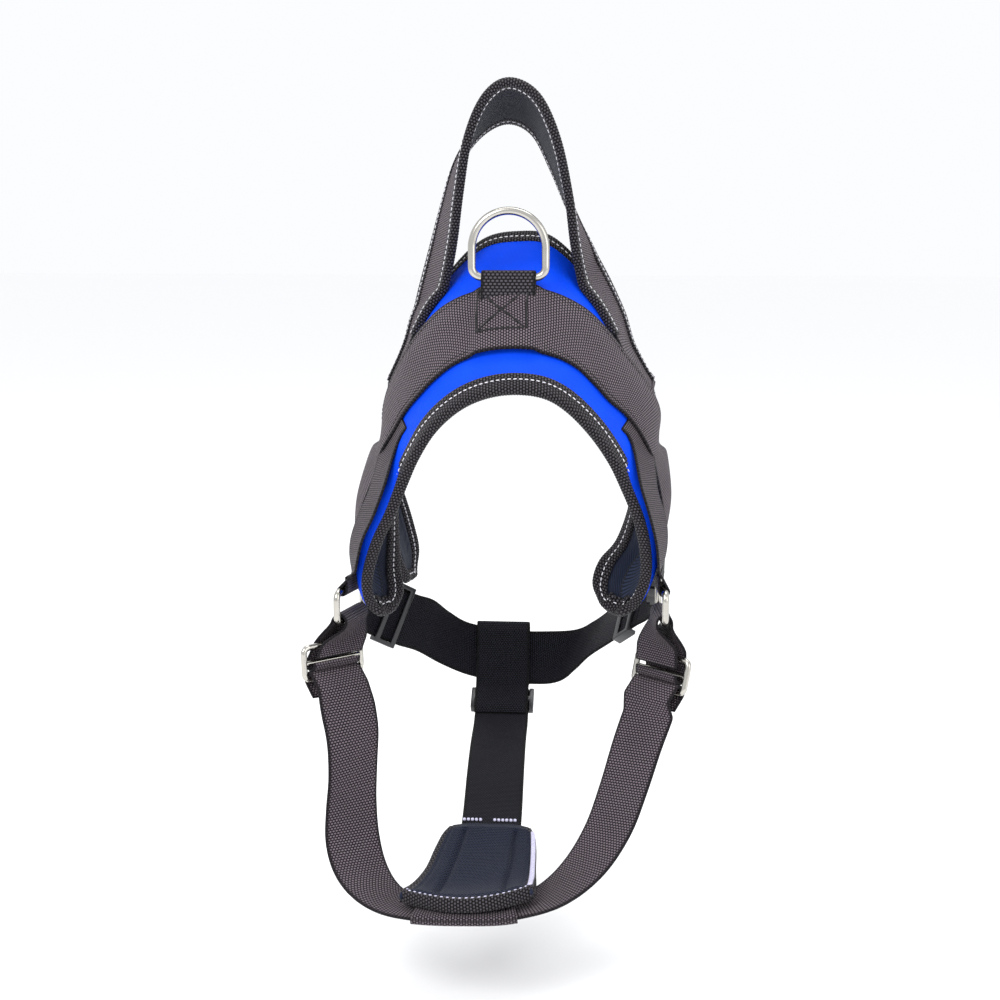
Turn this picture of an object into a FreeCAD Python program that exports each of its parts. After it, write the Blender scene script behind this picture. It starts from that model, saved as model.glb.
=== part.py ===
import FreeCAD, Part
import math
import os

# Dog harness, worn on the back.  Millimetres.  +X is the wearer's left when it walks towards -Y,
# -Y is the front (neck end), +Z is up.  The origin is on the underside of the saddle, in the
# middle, where the saddle rests on the back.

V = FreeCAD.Vector

# ---- driving dimensions ----
STRAP_WIDTH = 38.0
STRAP_THICK = 1.6
CROSS_THICK = 1.9
LAYER_GAP = 0.1
EDGE_GAP = 0.25
SEWN_GAP = 0.6
SHELL_THICK = 1.5
FOAM_THICK = 3.6
LINING_THICK = 1.5
BINDING_REACH = 2.3
HANDLE_THICK = 2.1
LEASH_WIRE = 2.6
LEASH_HALF_WIDTH = 23.7
LEASH_SIDE = 18.5
LEASH_CORNER = 6.5
RING_WIRE = 2.2
RING_HALF_LENGTH = 21.0
RING_HALF_HEIGHT = 10.0
ADJUSTER_WIRE = 2.0
MIDDLE_BAR = 1.8
ADJUSTER_HALF_LENGTH = 22.0
ADJUSTER_HALF_HEIGHT = 10.5
SLIDER_LENGTH = 19.0
BUCKLE_WIDTH = 46.0
BUCKLE_THICK = 11.0
HOUSING_LENGTH = 26.0

# ---- shapes of the soft parts, as hand-placed points ----
# Saddle: one row per rib, left wing tip to right wing tip; across a rib, neck edge to rear edge.
SADDLE_RIBS = [
    [(-85, -9, -189), (-84, -7, -190), (-82, -5, -190), (-80, -3, -190), (-77, -1, -189)],
    [(-91, -16, -180), (-93, -10, -182), (-91, -2, -183), (-84, 5, -183), (-73, 10, -180)],
    [(-92, -22, -163), (-97, -15, -165), (-98, -3, -166), (-93, 11, -166), (-77, 19, -165)],
    [(-84, -29, -137), (-94, -21, -140), (-99, -4, -144), (-95, 15, -146), (-80, 29, -147)],
    [(-74, -33, -116), (-86, -25, -120), (-94, -4, -124), (-93, 18, -126), (-82, 36, -126)],
    [(-66, -35, -96), (-78, -24, -98), (-85, 0, -101), (-86, 28, -102), (-84, 52, -98)],
    [(-59, -36, -80), (-73, -2, -69), (-81, 23, -63), (-86, 48, -58), (-87, 76, -56)],
    [(-48, -37, -63), (-57, -12, -46), (-64, 7, -32), (-69, 28, -21), (-71, 64, -17)],
    [(-33, -38, -49), (-37, -18, -27), (-42, 0, -9), (-46, 18, 7), (-48, 65, 25)],
    [(-16, -39, -40), (-18, -19, -18), (-20, -2, 1), (-22, 15, 19), (-23, 65, 51)],
    [(4, -40, -36), (3, -20, -15), (2, -3, 4), (1, 15, 22), (2, 65, 57)],
    [(25, -40, -38), (24, -19, -17), (24, -2, 2), (23, 15, 20), (25, 65, 53)],
    [(41, -38, -47), (44, -17, -26), (47, 1, -9), (49, 19, 7), (50, 65, 27)],
    [(57, -37, -63), (64, -12, -47), (70, 6, -32), (73, 27, -21), (73, 66, -14)],
    [(69, -35, -80), (82, -3, -67), (90, 20, -62), (95, 45, -59), (94, 72, -54)],
    [(77, -34, -96), (87, -24, -98), (92, 0, -101), (91, 26, -102), (88, 50, -98)],
    [(85, -32, -116), (93, -24, -119), (98, -4, -123), (95, 17, -125), (82, 34, -124)],
    [(90, -28, -137), (96, -20, -140), (98, -4, -144), (92, 13, -146), (73, 24, -146)],
    [(91, -21, -159), (94, -14, -161), (93, -2, -163), (83, 10, -163), (61, 16, -158)],
    [(85, -15, -177), (86, -9, -179), (83, -2, -180), (72, 5, -179), (57, 10, -172)],
    [(75, -7, -187), (73, -5, -188), (71, -3, -188), (68, -1, -187), (64, 2, -185)],
]
# Free ends of the cross webbing below the saddle: front edge, middle, rear edge.
CROSS_TAIL_LEFT = [
    [(-103, 25, -159), (-105, 45, -145), (-104, 65, -131)],
    [(-104, 24, -145), (-107, 46, -131), (-106, 68, -119)],
    [(-100, 23, -125), (-105, 47, -116), (-105, 71, -107)],
    [(-90, 22, -101), (-97, 46, -95), (-99, 71, -90)],
]
CROSS_TAIL_RIGHT = [
    [(96, 21, -102), (102, 44, -96), (102, 69, -90)],
    [(100, 23, -125), (105, 47, -116), (104, 71, -107)],
    [(100, 24, -145), (103, 46, -131), (101, 68, -119)],
    [(96, 25, -159), (98, 45, -145), (97, 65, -131)],
]
# Padded tongues under the free ends, top to tip: front edge to rear edge.
TONGUE_LEFT = [
    [(-92, 55, -110), (-95, 63, -109), (-96, 73, -109), (-95, 86, -109), (-90, 96, -110)],
    [(-89, 55, -128), (-95, 63, -129), (-98, 79, -130), (-95, 96, -130), (-85, 106, -129)],
    [(-86, 62, -150), (-91, 70, -151), (-93, 85, -152), (-89, 100, -152), (-79, 109, -151)],
    [(-83, 68, -170), (-86, 74, -171), (-86, 87, -172), (-82, 100, -172), (-75, 107, -170)],
    [(-77, 80, -187), (-79, 83, -188), (-79, 89, -188), (-77, 94, -188), (-77, 97, -186)],
]
TONGUE_RIGHT = [
    [(91, 55, -110), (93, 63, -109), (95, 73, -109), (94, 86, -109), (90, 96, -110)],
    [(88, 55, -128), (93, 63, -129), (96, 79, -130), (93, 96, -130), (86, 106, -129)],
    [(85, 62, -150), (89, 70, -151), (91, 85, -152), (88, 100, -152), (81, 108, -151)],
    [(82, 68, -170), (85, 74, -171), (85, 87, -172), (82, 99, -172), (77, 105, -170)],
    [(77, 80, -186), (79, 83, -187), (80, 88, -187), (79, 93, -187), (78, 96, -185)],
]
# Handle: left root to right root; front edge, rear edge.
HANDLE = [
    [(-51, 35, 4), (-70, 79, -2)],
    [(-44, 35, 26), (-65, 79, 18)],
    [(-39, 36, 52), (-58, 80, 44)],
    [(-35, 37, 84), (-50, 82, 74)],
    [(-29, 36, 119), (-41, 82, 102)],
    [(-18, 36, 144), (-26, 82, 122)],
    [(-3, 36, 154), (-7, 82, 131)],
    [(15, 36, 145), (11, 82, 123)],
    [(28, 36, 118), (24, 82, 99)],
    [(36, 37, 82), (37, 82, 69)],
    [(40, 36, 51), (50, 81, 44)],
    [(45, 35, 26), (58, 80, 19)],
    [(50, 35, 4), (65, 79, -3)],
]
# Straps: centre line and the direction across the strap.
CHEST = [
    ((-102, -32, -245), (-0.82, -0.57, -0.02)),
    ((-98, -38, -263), (-0.76, -0.65, -0.04)),
    ((-97, -45, -283), (-0.7, -0.71, -0.06)),
    ((-97, -54, -303), (-0.72, -0.69, 0.02)),
    ((-95, -64, -321), (-0.77, -0.63, 0.04)),
    ((-89, -75, -336), (-0.76, -0.64, 0.08)),
    ((-79, -86, -346), (-0.7, -0.7, 0.1)),
    ((-65, -95, -351.5), (-0.48, -0.87, 0.06)),
    ((-47, -101, -352), (-0.18, -0.98, 0.02)),
    ((-19, -103, -351), (0, -1, 0)),
    ((8, -101, -350), (0.16, -0.98, 0.02)),
    ((32, -93, -345.5), (0.48, -0.87, 0.08)),
    ((52, -81, -332), (0.66, -0.74, 0.1)),
    ((67, -66, -312), (0.75, -0.65, 0.12)),
    ((77, -52, -288), (0.78, -0.62, 0.1)),
    ((85, -41, -264), (0.8, -0.59, 0.08)),
    ((92, -32, -245), (0.82, -0.57, 0.05)),
]
CENTRE = [
    ((-14, 138, -280), (1, 0, 0)),
    ((-14, 130, -286), (1, 0, 0)),
    ((-14, 122, -292), (1, 0, 0)),
    ((-13.5, 106, -297), (1, 0, 0)),
    ((-13, 80, -301), (1, 0, 0)),
    ((-12, 52, -305), (1, 0, 0)),
    ((-11, 25, -311), (1, 0, 0)),
    ((-10, -2, -319), (1, 0, 0)),
    ((-9.5, -21, -325), (1, 0, 0)),
]
GIRTH = [
    ((-100.8, 94.8, -209.5), (-0.33, -0.34, -0.88)),
    ((-91, 104, -216), (-0.33, -0.34, -0.88)),
    ((-81.2, 113.2, -222.5), (-0.33, -0.34, -0.88)),
    ((-70, 124, -229), (-0.28, -0.25, -0.92)),
    ((-57, 136, -241), (-0.14, -0.15, -0.98)),
    ((-40, 143, -251), (0.02, -0.13, -0.99)),
    ((-15, 145, -256), (0, -0.15, -0.99)),
    ((10, 144, -257), (0, -0.15, -0.99)),
    ((33, 141, -254), (-0.25, -0.25, -0.93)),
    ((46, 133, -244), (-0.35, -0.4, -0.85)),
    ((57, 123, -232), (-0.35, -0.6, -0.72)),
    ((71, 107, -216.5), (-0.18, -0.74, -0.66)),
    ((79, 98, -208.8), (-0.18, -0.74, -0.66)),
    ((87, 89, -201.1), (-0.18, -0.74, -0.66)),
]
# The loop that hangs the centre strap on the girth strap, in the plane X = GIRTH_LOOP_X.
GIRTH_LOOP_X = -14.5
GIRTH_LOOP = [
    (135.5, -275), (138.3, -267), (139.9, -256), (141.9, -243), (143.2, -236), (147.0, -230.6),
    (151.6, -235.5), (151.3, -243), (149.5, -256), (147.6, -267), (143.8, -277.5),
]
# Chest pad: upper face, rear edge to front edge; across a row, left to right.
PAD = [
    [(-38, -24, -327), (-24, -24, -325), (-9, -24, -325), (6, -24, -325), (18, -25, -327)],
    [(-43, -46, -334), (-26, -46, -332), (-10, -46, -332), (5, -46, -332), (20, -45, -332)],
    [(-47, -68, -340), (-29, -69, -338), (-12, -69, -337), (5, -68, -336), (21, -66, -336)],
    [(-53, -89, -342), (-33, -93, -342), (-15, -94, -341), (3, -92, -339), (22, -87, -337)],
    [(-59, -104, -341), (-36, -116, -340), (-17, -120, -339), (3, -117, -337), (22, -106, -335)],
]
# Side hardware: centre of each ring and adjuster, and the direction of their bars.
SIDES = {
    "left": {
        "out": -1.0,
        "ring": (-104, -6, -181),
        "ring_bar": (-0.25, -0.97, 0),
        "adjuster": (-114, -18, -217),
        "adjuster_bar": (-0.72, -0.69, 0),
        "buckle": (-104, 50, -152),
        "buckle_axis": (0.05, 0.6, -0.8),
        "slider_station": 1.0,
        "anchor_start": 5.15,
        "anchor_end": 2.3,
        "tongue": TONGUE_LEFT,
    },
    "right": {
        "out": 1.0,
        "ring": (100, -5, -178),
        "ring_bar": (0.1, -0.99, 0),
        "adjuster": (100, -17, -221),
        "adjuster_bar": (0.72, -0.69, 0),
        "buckle": (97.5, 50, -152),
        "buckle_axis": (-0.05, 0.6, -0.8),
        "slider_station": 12.0,
        "anchor_start": 14.85,
        "anchor_end": 17.7,
        "tongue": TONGUE_RIGHT,
    },
}


# ---- smooth lines and sheets through points ----
def through(points, t):
    """The point at t (0 to len - 1) on a smooth curve that passes through the points."""
    last = len(points) - 1
    i = min(int(max(t, 0.0)), last - 1)
    f = t - i
    p1 = points[i]
    p2 = points[i + 1]
    p0 = points[i - 1] if i > 0 else p1 * 2 - p2
    p3 = points[i + 2] if i + 2 <= last else p2 * 2 - p1
    slope_1 = (p2 - p0) * 0.5
    slope_2 = (p3 - p1) * 0.5
    f2 = f * f
    f3 = f2 * f
    ends = p1 * (2 * f3 - 3 * f2 + 1) + p2 * (3 * f2 - 2 * f3)
    return ends + slope_1 * (f3 - 2 * f2 + f) + slope_2 * (f3 - f2)


def unit(vector):
    return vector / vector.Length


class Sheet:
    """A smooth surface through rows of points; u counts rows and v counts points in a row."""

    def __init__(self, rows, outward=1.0, reach=0.3):
        self.rows = [[V(*point) for point in row] for row in rows]
        self.outward = outward
        self.reach = reach

    def at(self, u, v, off=0.0):
        point = through([through(row, v) for row in self.rows], u)
        if off:
            point = point + self.normal(u, v) * off
        return point

    def along(self, u, v):
        return unit(self.at(u + self.reach, v) - self.at(u - self.reach, v))

    def across(self, u, v):
        return unit(self.at(u, v + self.reach) - self.at(u, v - self.reach))

    def normal(self, u, v):
        return unit(self.along(u, v).cross(self.across(u, v))) * self.outward


def spread(lo, hi, count):
    return [lo + (hi - lo) * i / (count - 1) for i in range(count)]


def enriched(points):
    """At least four points along a straight pair, so that every face has the same make-up."""
    if len(points) > 2:
        return points
    a, b = points
    return [a, a + (b - a) / 3.0, a + (b - a) * (2.0 / 3.0), b]


def section(upper, lower):
    """One cross-section: two rows of points that run the same way."""
    return (enriched(upper), enriched(lower))


def clamped(count):
    """Multiplicities and knots of an even cubic that starts and ends on its end points."""
    inside = count - 4
    return [4] + [1] * inside + [4], [float(i) for i in range(inside + 2)]


def surface_near(grid):
    """A smooth surface that follows a grid of points without overshooting it."""
    u_mults, u_knots = clamped(len(grid))
    v_mults, v_knots = clamped(len(grid[0]))
    surface = Part.BSplineSurface()
    surface.buildFromPolesMultsKnots(grid, u_mults, v_mults, u_knots, v_knots, False, False, 3, 3)
    return surface


def loft(sections):
    """A solid between the smooth surfaces along the upper rows and along the lower rows."""
    upper, lower = [surface_near([s[side] for s in sections]) for side in (0, 1)]
    faces = [upper.toShape(), lower.toShape()]
    u_ends = upper.bounds()[:2]
    v_ends = upper.bounds()[2:]
    for u in u_ends:
        faces.append(Part.makeRuledSurface(upper.uIso(u).toShape(), lower.uIso(u).toShape(), 1))
    for v in v_ends:
        faces.append(Part.makeRuledSurface(upper.vIso(v).toShape(), lower.vIso(v).toShape(), 1))
    shell = Part.makeShell(faces)
    shell.sewShape()
    solid = Part.makeSolid(Part.Shell(shell.Faces))
    if solid.Volume < 0:
        solid.reverse()
    return solid


def layer(sheet, us, v_range, outer, inner, across=9, thin=None):
    """A solid layer of a sheet, between two distances from it; v_range and thin may vary with u."""
    sections = []
    for u in us:
        lo, hi = v_range(u) if callable(v_range) else v_range
        k = thin(u) if thin else 1.0
        vs = spread(lo, hi, across)
        upper = [sheet.at(u, v, outer * k) for v in vs]
        lower = [sheet.at(u, v, inner * k) for v in vs]
        sections.append(section(upper, lower))
    return loft(sections)


def strap(stations, width=STRAP_WIDTH, thick=STRAP_THICK, start=0.0, end=None, pitch=9.0):
    """A flat strap through the stations, with sections about pitch apart."""
    centres = [V(*c) for c, _ in stations]
    acrosses = [V(*w) for _, w in stations]
    last = len(stations) - 1.0
    end = last if end is None else end
    ts = spread(start, end, 1 + 24 * len(stations))
    line = [through(centres, t) for t in ts]
    run = [0.0]
    for a, b in zip(line, line[1:]):
        run.append(run[-1] + (b - a).Length)
    count = max(5, int(round(run[-1] / pitch)) + 1)
    sections = []
    for want in spread(0.0, run[-1], count):
        i = min(range(len(run)), key=lambda k: abs(run[k] - want))
        t = ts[i]
        centre = line[i]
        travel = through(centres, min(t + 0.1, last)) - through(centres, max(t - 0.1, 0.0))
        across = unit(through(acrosses, t))
        half = across * (width / 2)
        up = unit(travel.cross(across)) * (thick / 2)
        upper = [centre - half + up, centre + half + up]
        lower = [centre - half - up, centre + half - up]
        sections.append(section(upper, lower))
    return loft(sections)


def evened(stations, pitch):
    """The same run of straight pieces, with stations about pitch apart."""
    result = [stations[0]]
    for (c0, w0), (c1, w1) in zip(stations, stations[1:]):
        a, b = V(*c0), V(*c1)
        steps = max(1, int(round((b - a).Length / pitch)))
        for k in range(1, steps + 1):
            f = k / steps
            result.append((tuple(a + (b - a) * f), tuple(V(*w0) * (1 - f) + V(*w1) * f)))
    return result


def belt(points, across, width, thick, pitch=1.7):
    """A strap of constant width direction whose middle passes through the points."""
    stations = [(tuple(p), tuple(across)) for p in points]
    return strap(evened(stations, pitch), width, thick, pitch=pitch)


# ---- hardware ----
def placed(shape, origin, x_axis, y_axis):
    """Moves a shape from its own axes to origin, x_axis and the nearest square y_axis."""
    x = unit(x_axis)
    z = unit(x.cross(y_axis))
    y = z.cross(x)
    matrix = FreeCAD.Matrix(
        x.x, y.x, z.x, origin.x,
        x.y, y.y, z.y, origin.y,
        x.z, y.z, z.z, origin.z,
        0, 0, 0, 1,
    )
    return shape.transformed(matrix)


def wire_loop(edges, start, direction, wire):
    path = Part.Wire(edges)
    profile = Part.Wire([Part.makeCircle(wire, start, direction)])
    return path.makePipeShell([profile], True, True)


def quarter(centre, radius, from_angle):
    """A quarter circle in the XZ plane, drawn anticlockwise from from_angle."""
    points = []
    for step in (0, 45, 90):
        a = math.radians(from_angle + step)
        points.append(centre + V(radius * math.cos(a), 0, radius * math.sin(a)))
    return Part.Arc(*points).toShape()


def rectangle_ring(half_length, half_height, corner, wire):
    """A wire loop in the XZ plane, long way along X."""
    a = half_length - corner
    b = half_height - corner
    edges = [
        Part.makeLine(V(-a, 0, -half_height), V(a, 0, -half_height)),
        quarter(V(a, 0, -b), corner, 270),
        Part.makeLine(V(half_length, 0, -b), V(half_length, 0, b)),
        quarter(V(a, 0, b), corner, 0),
        Part.makeLine(V(a, 0, half_height), V(-a, 0, half_height)),
        quarter(V(-a, 0, b), corner, 90),
        Part.makeLine(V(-half_length, 0, b), V(-half_length, 0, -b)),
        quarter(V(-a, 0, -b), corner, 180),
    ]
    return wire_loop(edges, V(-a, 0, -half_height), V(1, 0, 0), wire)


def leash_ring(wire):
    """A D-ring in the XZ plane, its straight bar along X through the origin."""
    a = LEASH_HALF_WIDTH - LEASH_CORNER
    edges = [
        Part.makeLine(V(-a, 0, 0), V(a, 0, 0)),
        quarter(V(a, 0, LEASH_CORNER), LEASH_CORNER, 270),
        Part.makeLine(V(LEASH_HALF_WIDTH, 0, LEASH_CORNER), V(LEASH_HALF_WIDTH, 0, LEASH_SIDE)),
        quarter(V(0, 0, LEASH_SIDE), LEASH_HALF_WIDTH, 0),
        quarter(V(0, 0, LEASH_SIDE), LEASH_HALF_WIDTH, 90),
        Part.makeLine(V(-LEASH_HALF_WIDTH, 0, LEASH_SIDE), V(-LEASH_HALF_WIDTH, 0, LEASH_CORNER)),
        quarter(V(-a, 0, LEASH_CORNER), LEASH_CORNER, 180),
    ]
    return wire_loop(edges, V(-a, 0, 0), V(1, 0, 0), wire)


def box(x0, x1, y0, y1, z0, z1):
    return Part.makeBox(x1 - x0, y1 - y0, z1 - z0, V(x0, y0, z0))


def strap_slider(length, width, strap_thick):
    """A three-bar slider: the strap lies in the XY plane, across X, and runs along Y."""
    inner = width / 2 + 0.8
    outer = inner + 3.2
    half = length / 2
    gap = strap_thick / 2 + 0.5
    body = box(-outer, -inner, -half, half, -gap - 2.2, gap + 2.2)
    body = body.fuse(box(inner, outer, -half, half, -gap - 2.2, gap + 2.2))
    body = body.fuse(box(-outer, outer, -half, -half + 4.2, gap, gap + 2.2))
    body = body.fuse(box(-outer, outer, half - 4.2, half, gap, gap + 2.2))
    body = body.fuse(box(-outer, outer, -2.2, 2.2, -gap - 2.2, -gap))
    return body.removeSplitter()


BAR_END = 3.0
SLOT_END = 6.8
CAVITY_START = 8.5
PLUG_START = HOUSING_LENGTH + 0.6
PLUG_END = HOUSING_LENGTH + 10.5
PLUG_BAR = PLUG_END - 1.3


def buckle_housing():
    """Side-release housing: X across, Y from the strap bar to the mouth, Z through."""
    w = BUCKLE_WIDTH / 2
    t = BUCKLE_THICK / 2
    body = box(-w, w, 0, HOUSING_LENGTH, -t, t)
    long_edges = [e for e in body.Edges if abs(e.tangentAt(e.FirstParameter).y) > 0.9]
    body = body.makeFillet(3.0, long_edges)
    body = body.cut(box(-19.6, 19.6, BAR_END, SLOT_END, -t - 1, t + 1))
    body = body.cut(box(-w - 1, w + 1, -1, BAR_END + 0.01, 2.0, t + 1))
    body = body.cut(box(-w - 1, w + 1, -1, BAR_END + 0.01, -t - 1, -2.0))
    body = body.cut(box(-19.0, 19.0, CAVITY_START, HOUSING_LENGTH + 1, -3.6, 3.6))
    for side in (-1, 1):
        window = box(18.0, w + 1, 10.0, 18.0, -3.6, 3.6)
        if side < 0:
            window = window.mirror(V(0, 0, 0), V(1, 0, 0))
        body = body.cut(window)
    return body


def buckle_plug():
    w = BUCKLE_WIDTH / 2 - 1.5
    body = box(-w, w, PLUG_START, PLUG_END, -4.6, 4.6)
    body = body.cut(box(-19.6, 19.6, PLUG_START + 2.4, PLUG_END - 2.6, -6, 6))
    body = body.cut(box(-w - 1, w + 1, PLUG_END - 2.61, PLUG_END + 1, 2.0, 6))
    body = body.cut(box(-w - 1, w + 1, PLUG_END - 2.61, PLUG_END + 1, -6, -2.0))
    body = body.fuse(box(-4.0, 4.0, 11.0, PLUG_START + 0.5, -2.4, 2.4))
    return body.removeSplitter()


def buckle_prongs():
    """The two sprung prongs, with their hooks in the housing's side windows."""
    prongs = []
    for side in (-1, 1):
        outline = [
            V(9.5, PLUG_START, -2.4),
            V(13.5, PLUG_START, -2.4),
            V(16.5, 17.4, -2.4),
            V(21.6, 17.0, -2.4),
            V(20.5, 13.2, -2.4),
            V(15.0, 11.4, -2.4),
            V(12.6, 12.0, -2.4),
            V(12.2, 18.0, -2.4),
        ]
        prong = Part.Face(Part.makePolygon(outline + outline[:1])).extrude(V(0, 0, 4.8))
        if side < 0:
            prong = prong.mirror(V(0, 0, 0), V(1, 0, 0))
        prongs.append(prong)
    return Part.makeCompound(prongs)


def web_turn(centre_y, reach, way, width=STRAP_WIDTH, radius=3.4, thick=1.4):
    """Webbing turned round a bar at (centre_y, 0): X across, both legs running along Y by reach."""
    points = [V(0, centre_y + way * reach, radius), V(0, centre_y + way * reach / 2, radius)]
    for angle in (90, 60, 30, 0, -30, -60, -90):
        a = math.radians(angle)
        points.append(V(0, centre_y - way * radius * math.cos(a), radius * math.sin(a)))
    points += [V(0, centre_y + way * reach / 2, -radius), V(0, centre_y + way * reach, -radius)]
    return belt(points, V(1, 0, 0), width, thick)


# ---- the saddle and what is sewn to it ----
saddle = Sheet(SADDLE_RIBS, reach=0.9)
LAST_RIB = len(SADDLE_RIBS) - 1.0
SADDLE_US = [0.25] + spread(0.5, LAST_RIB - 0.5, 39) + [LAST_RIB - 0.25]


def tip_taper(u):
    """Layers thin out towards the two wing tips."""
    from_tip = min(u, LAST_RIB - u)
    return min(1.0, 0.35 + 0.65 * min(from_tip, 1.5) / 1.5)


shell_bottom = -SHELL_THICK
foam_top = shell_bottom - LAYER_GAP
foam_bottom = foam_top - FOAM_THICK
lining_top = foam_bottom - LAYER_GAP
lining_bottom = lining_top - LINING_THICK

nodes = {}
nodes["saddle_shell"] = layer(saddle, SADDLE_US, (0.0, 4.0), 0.0, shell_bottom, thin=tip_taper)
nodes["saddle_foam"] = layer(saddle, SADDLE_US, (0.0, 4.0), foam_top, foam_bottom, thin=tip_taper)
nodes["saddle_lining"] = layer(saddle, SADDLE_US, (0.0, 4.0), lining_top, lining_bottom, thin=tip_taper)


def edge_strip(sheet, us, v, reach, outer, inner, thin=None):
    """A binding along one edge of a sheet, outboard of its layers."""
    way = -1.0 if v == 0.0 else 1.0
    sections = []
    for u in us:
        k = thin(u) if thin else 1.0
        out = sheet.across(u, v) * way
        top = sheet.at(u, v, outer * k)
        low = sheet.at(u, v, inner * k)
        near = EDGE_GAP
        sections.append(section([top + out * near, top + out * reach], [low + out * near, low + out * reach]))
    return loft(sections)


EDGE_US = SADDLE_US[1:-1]
nodes["neck_binding"] = edge_strip(saddle, EDGE_US, 0.0, BINDING_REACH, 0.5, lining_bottom - 0.5, tip_taper)
nodes["rear_binding"] = edge_strip(saddle, EDGE_US, 4.0, BINDING_REACH, 0.5, lining_bottom - 0.5, tip_taper)

# Cross webbing: over the saddle between its second and fourth points, and free at both ends.
CROSS_LIFT = SEWN_GAP + CROSS_THICK / 2
ACROSS_CROSS = (1.0, 1.5, 2.0, 2.5, 3.0)
free_left, free_right = [
    [[through([V(*p) for p in row], v - 1.0) for v in ACROSS_CROSS] for row in tail]
    for tail in (CROSS_TAIL_LEFT, CROSS_TAIL_RIGHT)
]
leaving_left, leaving_right = [
    [saddle.at(u, 1.0 + v * 0.95 - 0.45, CROSS_LIFT + 0.7) for v in ACROSS_CROSS] for u in (5.5, 14.5)
]
sewn = [[saddle.at(u, v, CROSS_LIFT) for v in ACROSS_CROSS] for u in spread(6.0, 14.0, 17)]
cross_rows = free_left + [leaving_left] + sewn + [leaving_right] + free_right
cross = Sheet(cross_rows)
CROSS_US = spread(0.0, len(cross_rows) - 1.0, len(cross_rows))
nodes["cross_webbing"] = layer(cross, CROSS_US, (0.0, 4.0), CROSS_THICK / 2, -CROSS_THICK / 2, across=5)

# Leash tab: doubled webbing on top of the cross webbing, turned round the ring's bar.
TAB_X = -1.0
tab_low = SEWN_GAP + CROSS_THICK + 1.1
tab_high = tab_low + 1.7
TAB_TURN = LEASH_WIRE + 1.5
bar_base = saddle.at(10.0, 3.0)
bar_up = saddle.normal(10.0, 3.0)
bar_back = saddle.across(10.0, 3.0)
leash_bar = bar_base + bar_up * (tab_low + TAB_TURN) + bar_back * 3.0
leash_bar.x = TAB_X
tab_points = [saddle.at(10.0, v, tab_low) for v in (1.35, 1.8, 2.25, 2.7)]
for angle in (-90, -55, -20, 15, 50, 85):
    a = math.radians(angle)
    tab_points.append(leash_bar + (bar_up * math.sin(a) + bar_back * math.cos(a)) * TAB_TURN)
tab_points += [
    saddle.at(10.0, 2.72, tab_high + 4.2),
    saddle.at(10.0, 2.45, tab_high + 1.2),
    saddle.at(10.0, 2.2, tab_high + 0.2),
    saddle.at(10.0, 1.8, tab_high),
    saddle.at(10.0, 1.35, tab_high),
]
for point in tab_points:
    point.x = TAB_X
nodes["leash_tab"] = belt(tab_points, V(1, 0, 0), STRAP_WIDTH, 1.4)
nodes["leash_ring"] = placed(leash_ring(LEASH_WIRE), leash_bar, V(1, 0, 0), V(0, 1, 0))

# ---- handle: outer webbing over a lining, both edges bound ----
handle = Sheet(HANDLE, outward=1.0)
LAST_HANDLE = len(HANDLE) - 1.0
GRIP_START = 1.5
grip_us = spread(GRIP_START, LAST_HANDLE - GRIP_START, 22)


def band(us, outer, inner, v_range=(0.0, 1.0)):
    return layer(handle, us, v_range, outer, inner, across=2)


def band_edge(us, v):
    return edge_strip(handle, us, v, 2.2, 2.9, -2.9)




def across_handle(u, v):
    """The handle's edges are level with each other, so one direction serves at every point."""
    return unit(handle.at(u, 1.0) - handle.at(u, 0.0))


handle.across = across_handle
nodes["handle_webbing"] = band(grip_us, HANDLE_THICK, 0.1)
nodes["handle_lining"] = band(grip_us, 0.0, -HANDLE_THICK)
nodes["handle_front_binding"] = band_edge(grip_us, 0.0)
nodes["handle_rear_binding"] = band_edge(grip_us, 1.0)
for name, root_us in (("left", spread(7.3, 7.6, 5)), ("right", spread(12.4, 12.7, 5))):
    nodes["handle_root_" + name] = layer(saddle, root_us, (3.1, 3.9), SEWN_GAP + 2 * HANDLE_THICK, SEWN_GAP)

# ---- each side: anchor webbing, ring, connector, adjuster, tongue, buckle, slider ----
ANCHOR_THICK = 1.5
ANCHOR_GAP = 1.0
HANGING_TURN = 4.9


def anchor_range(u):
    """The anchor webbing keeps its width while the wing narrows towards its tip."""
    from_end = min(u, LAST_RIB - u)
    return (0.8 + 0.05 * from_end, 2.75 - 0.17 * from_end)


def connector(side):
    """A doubled strap from the side ring's lower bar to the adjuster's middle bar."""
    ring = V(*side["ring"]) + V(0, 0, -RING_HALF_HEIGHT)
    low = V(*side["adjuster"])
    turn = HANGING_TURN
    ring_bar = unit(V(*side["ring_bar"]))
    low_bar = unit(V(*side["adjuster_bar"]))
    down = unit(low - ring)
    stations = []

    def turned(k):
        m = min(1.0, max(0.0, (k - 0.12) / 0.42))
        return unit(ring_bar * (1 - m) + low_bar * m)

    def add(centre, bar, angle):
        square = unit(down - bar * down.dot(bar))
        face = bar.cross(square) * side["out"]
        a = math.radians(angle)
        point = centre + face * (turn * math.cos(a)) - square * (turn * math.sin(a))
        stations.append((tuple(point), tuple(bar)))

    # The inner run starts at its lower stitches, goes up round the ring and down the outer side.
    for k in (0.86, 0.76, 0.66, 0.56, 0.46, 0.36, 0.26, 0.17, 0.09):
        add(ring + (low - ring) * k, turned(k), 180)
    for angle in (180, 150, 120, 90, 60, 30, 0):
        add(ring, ring_bar, angle)
    for k in (0.09, 0.17, 0.26, 0.36, 0.46, 0.56, 0.66, 0.76, 0.85, 0.92):
        add(ring + (low - ring) * k, turned(k), 0)
    for angle in (0, -30, -60, -90, -120, -150, -180):
        add(low, low_bar, angle)
    return strap(evened(stations, 1.9), 35.0, ANCHOR_THICK, pitch=1.9)


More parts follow.
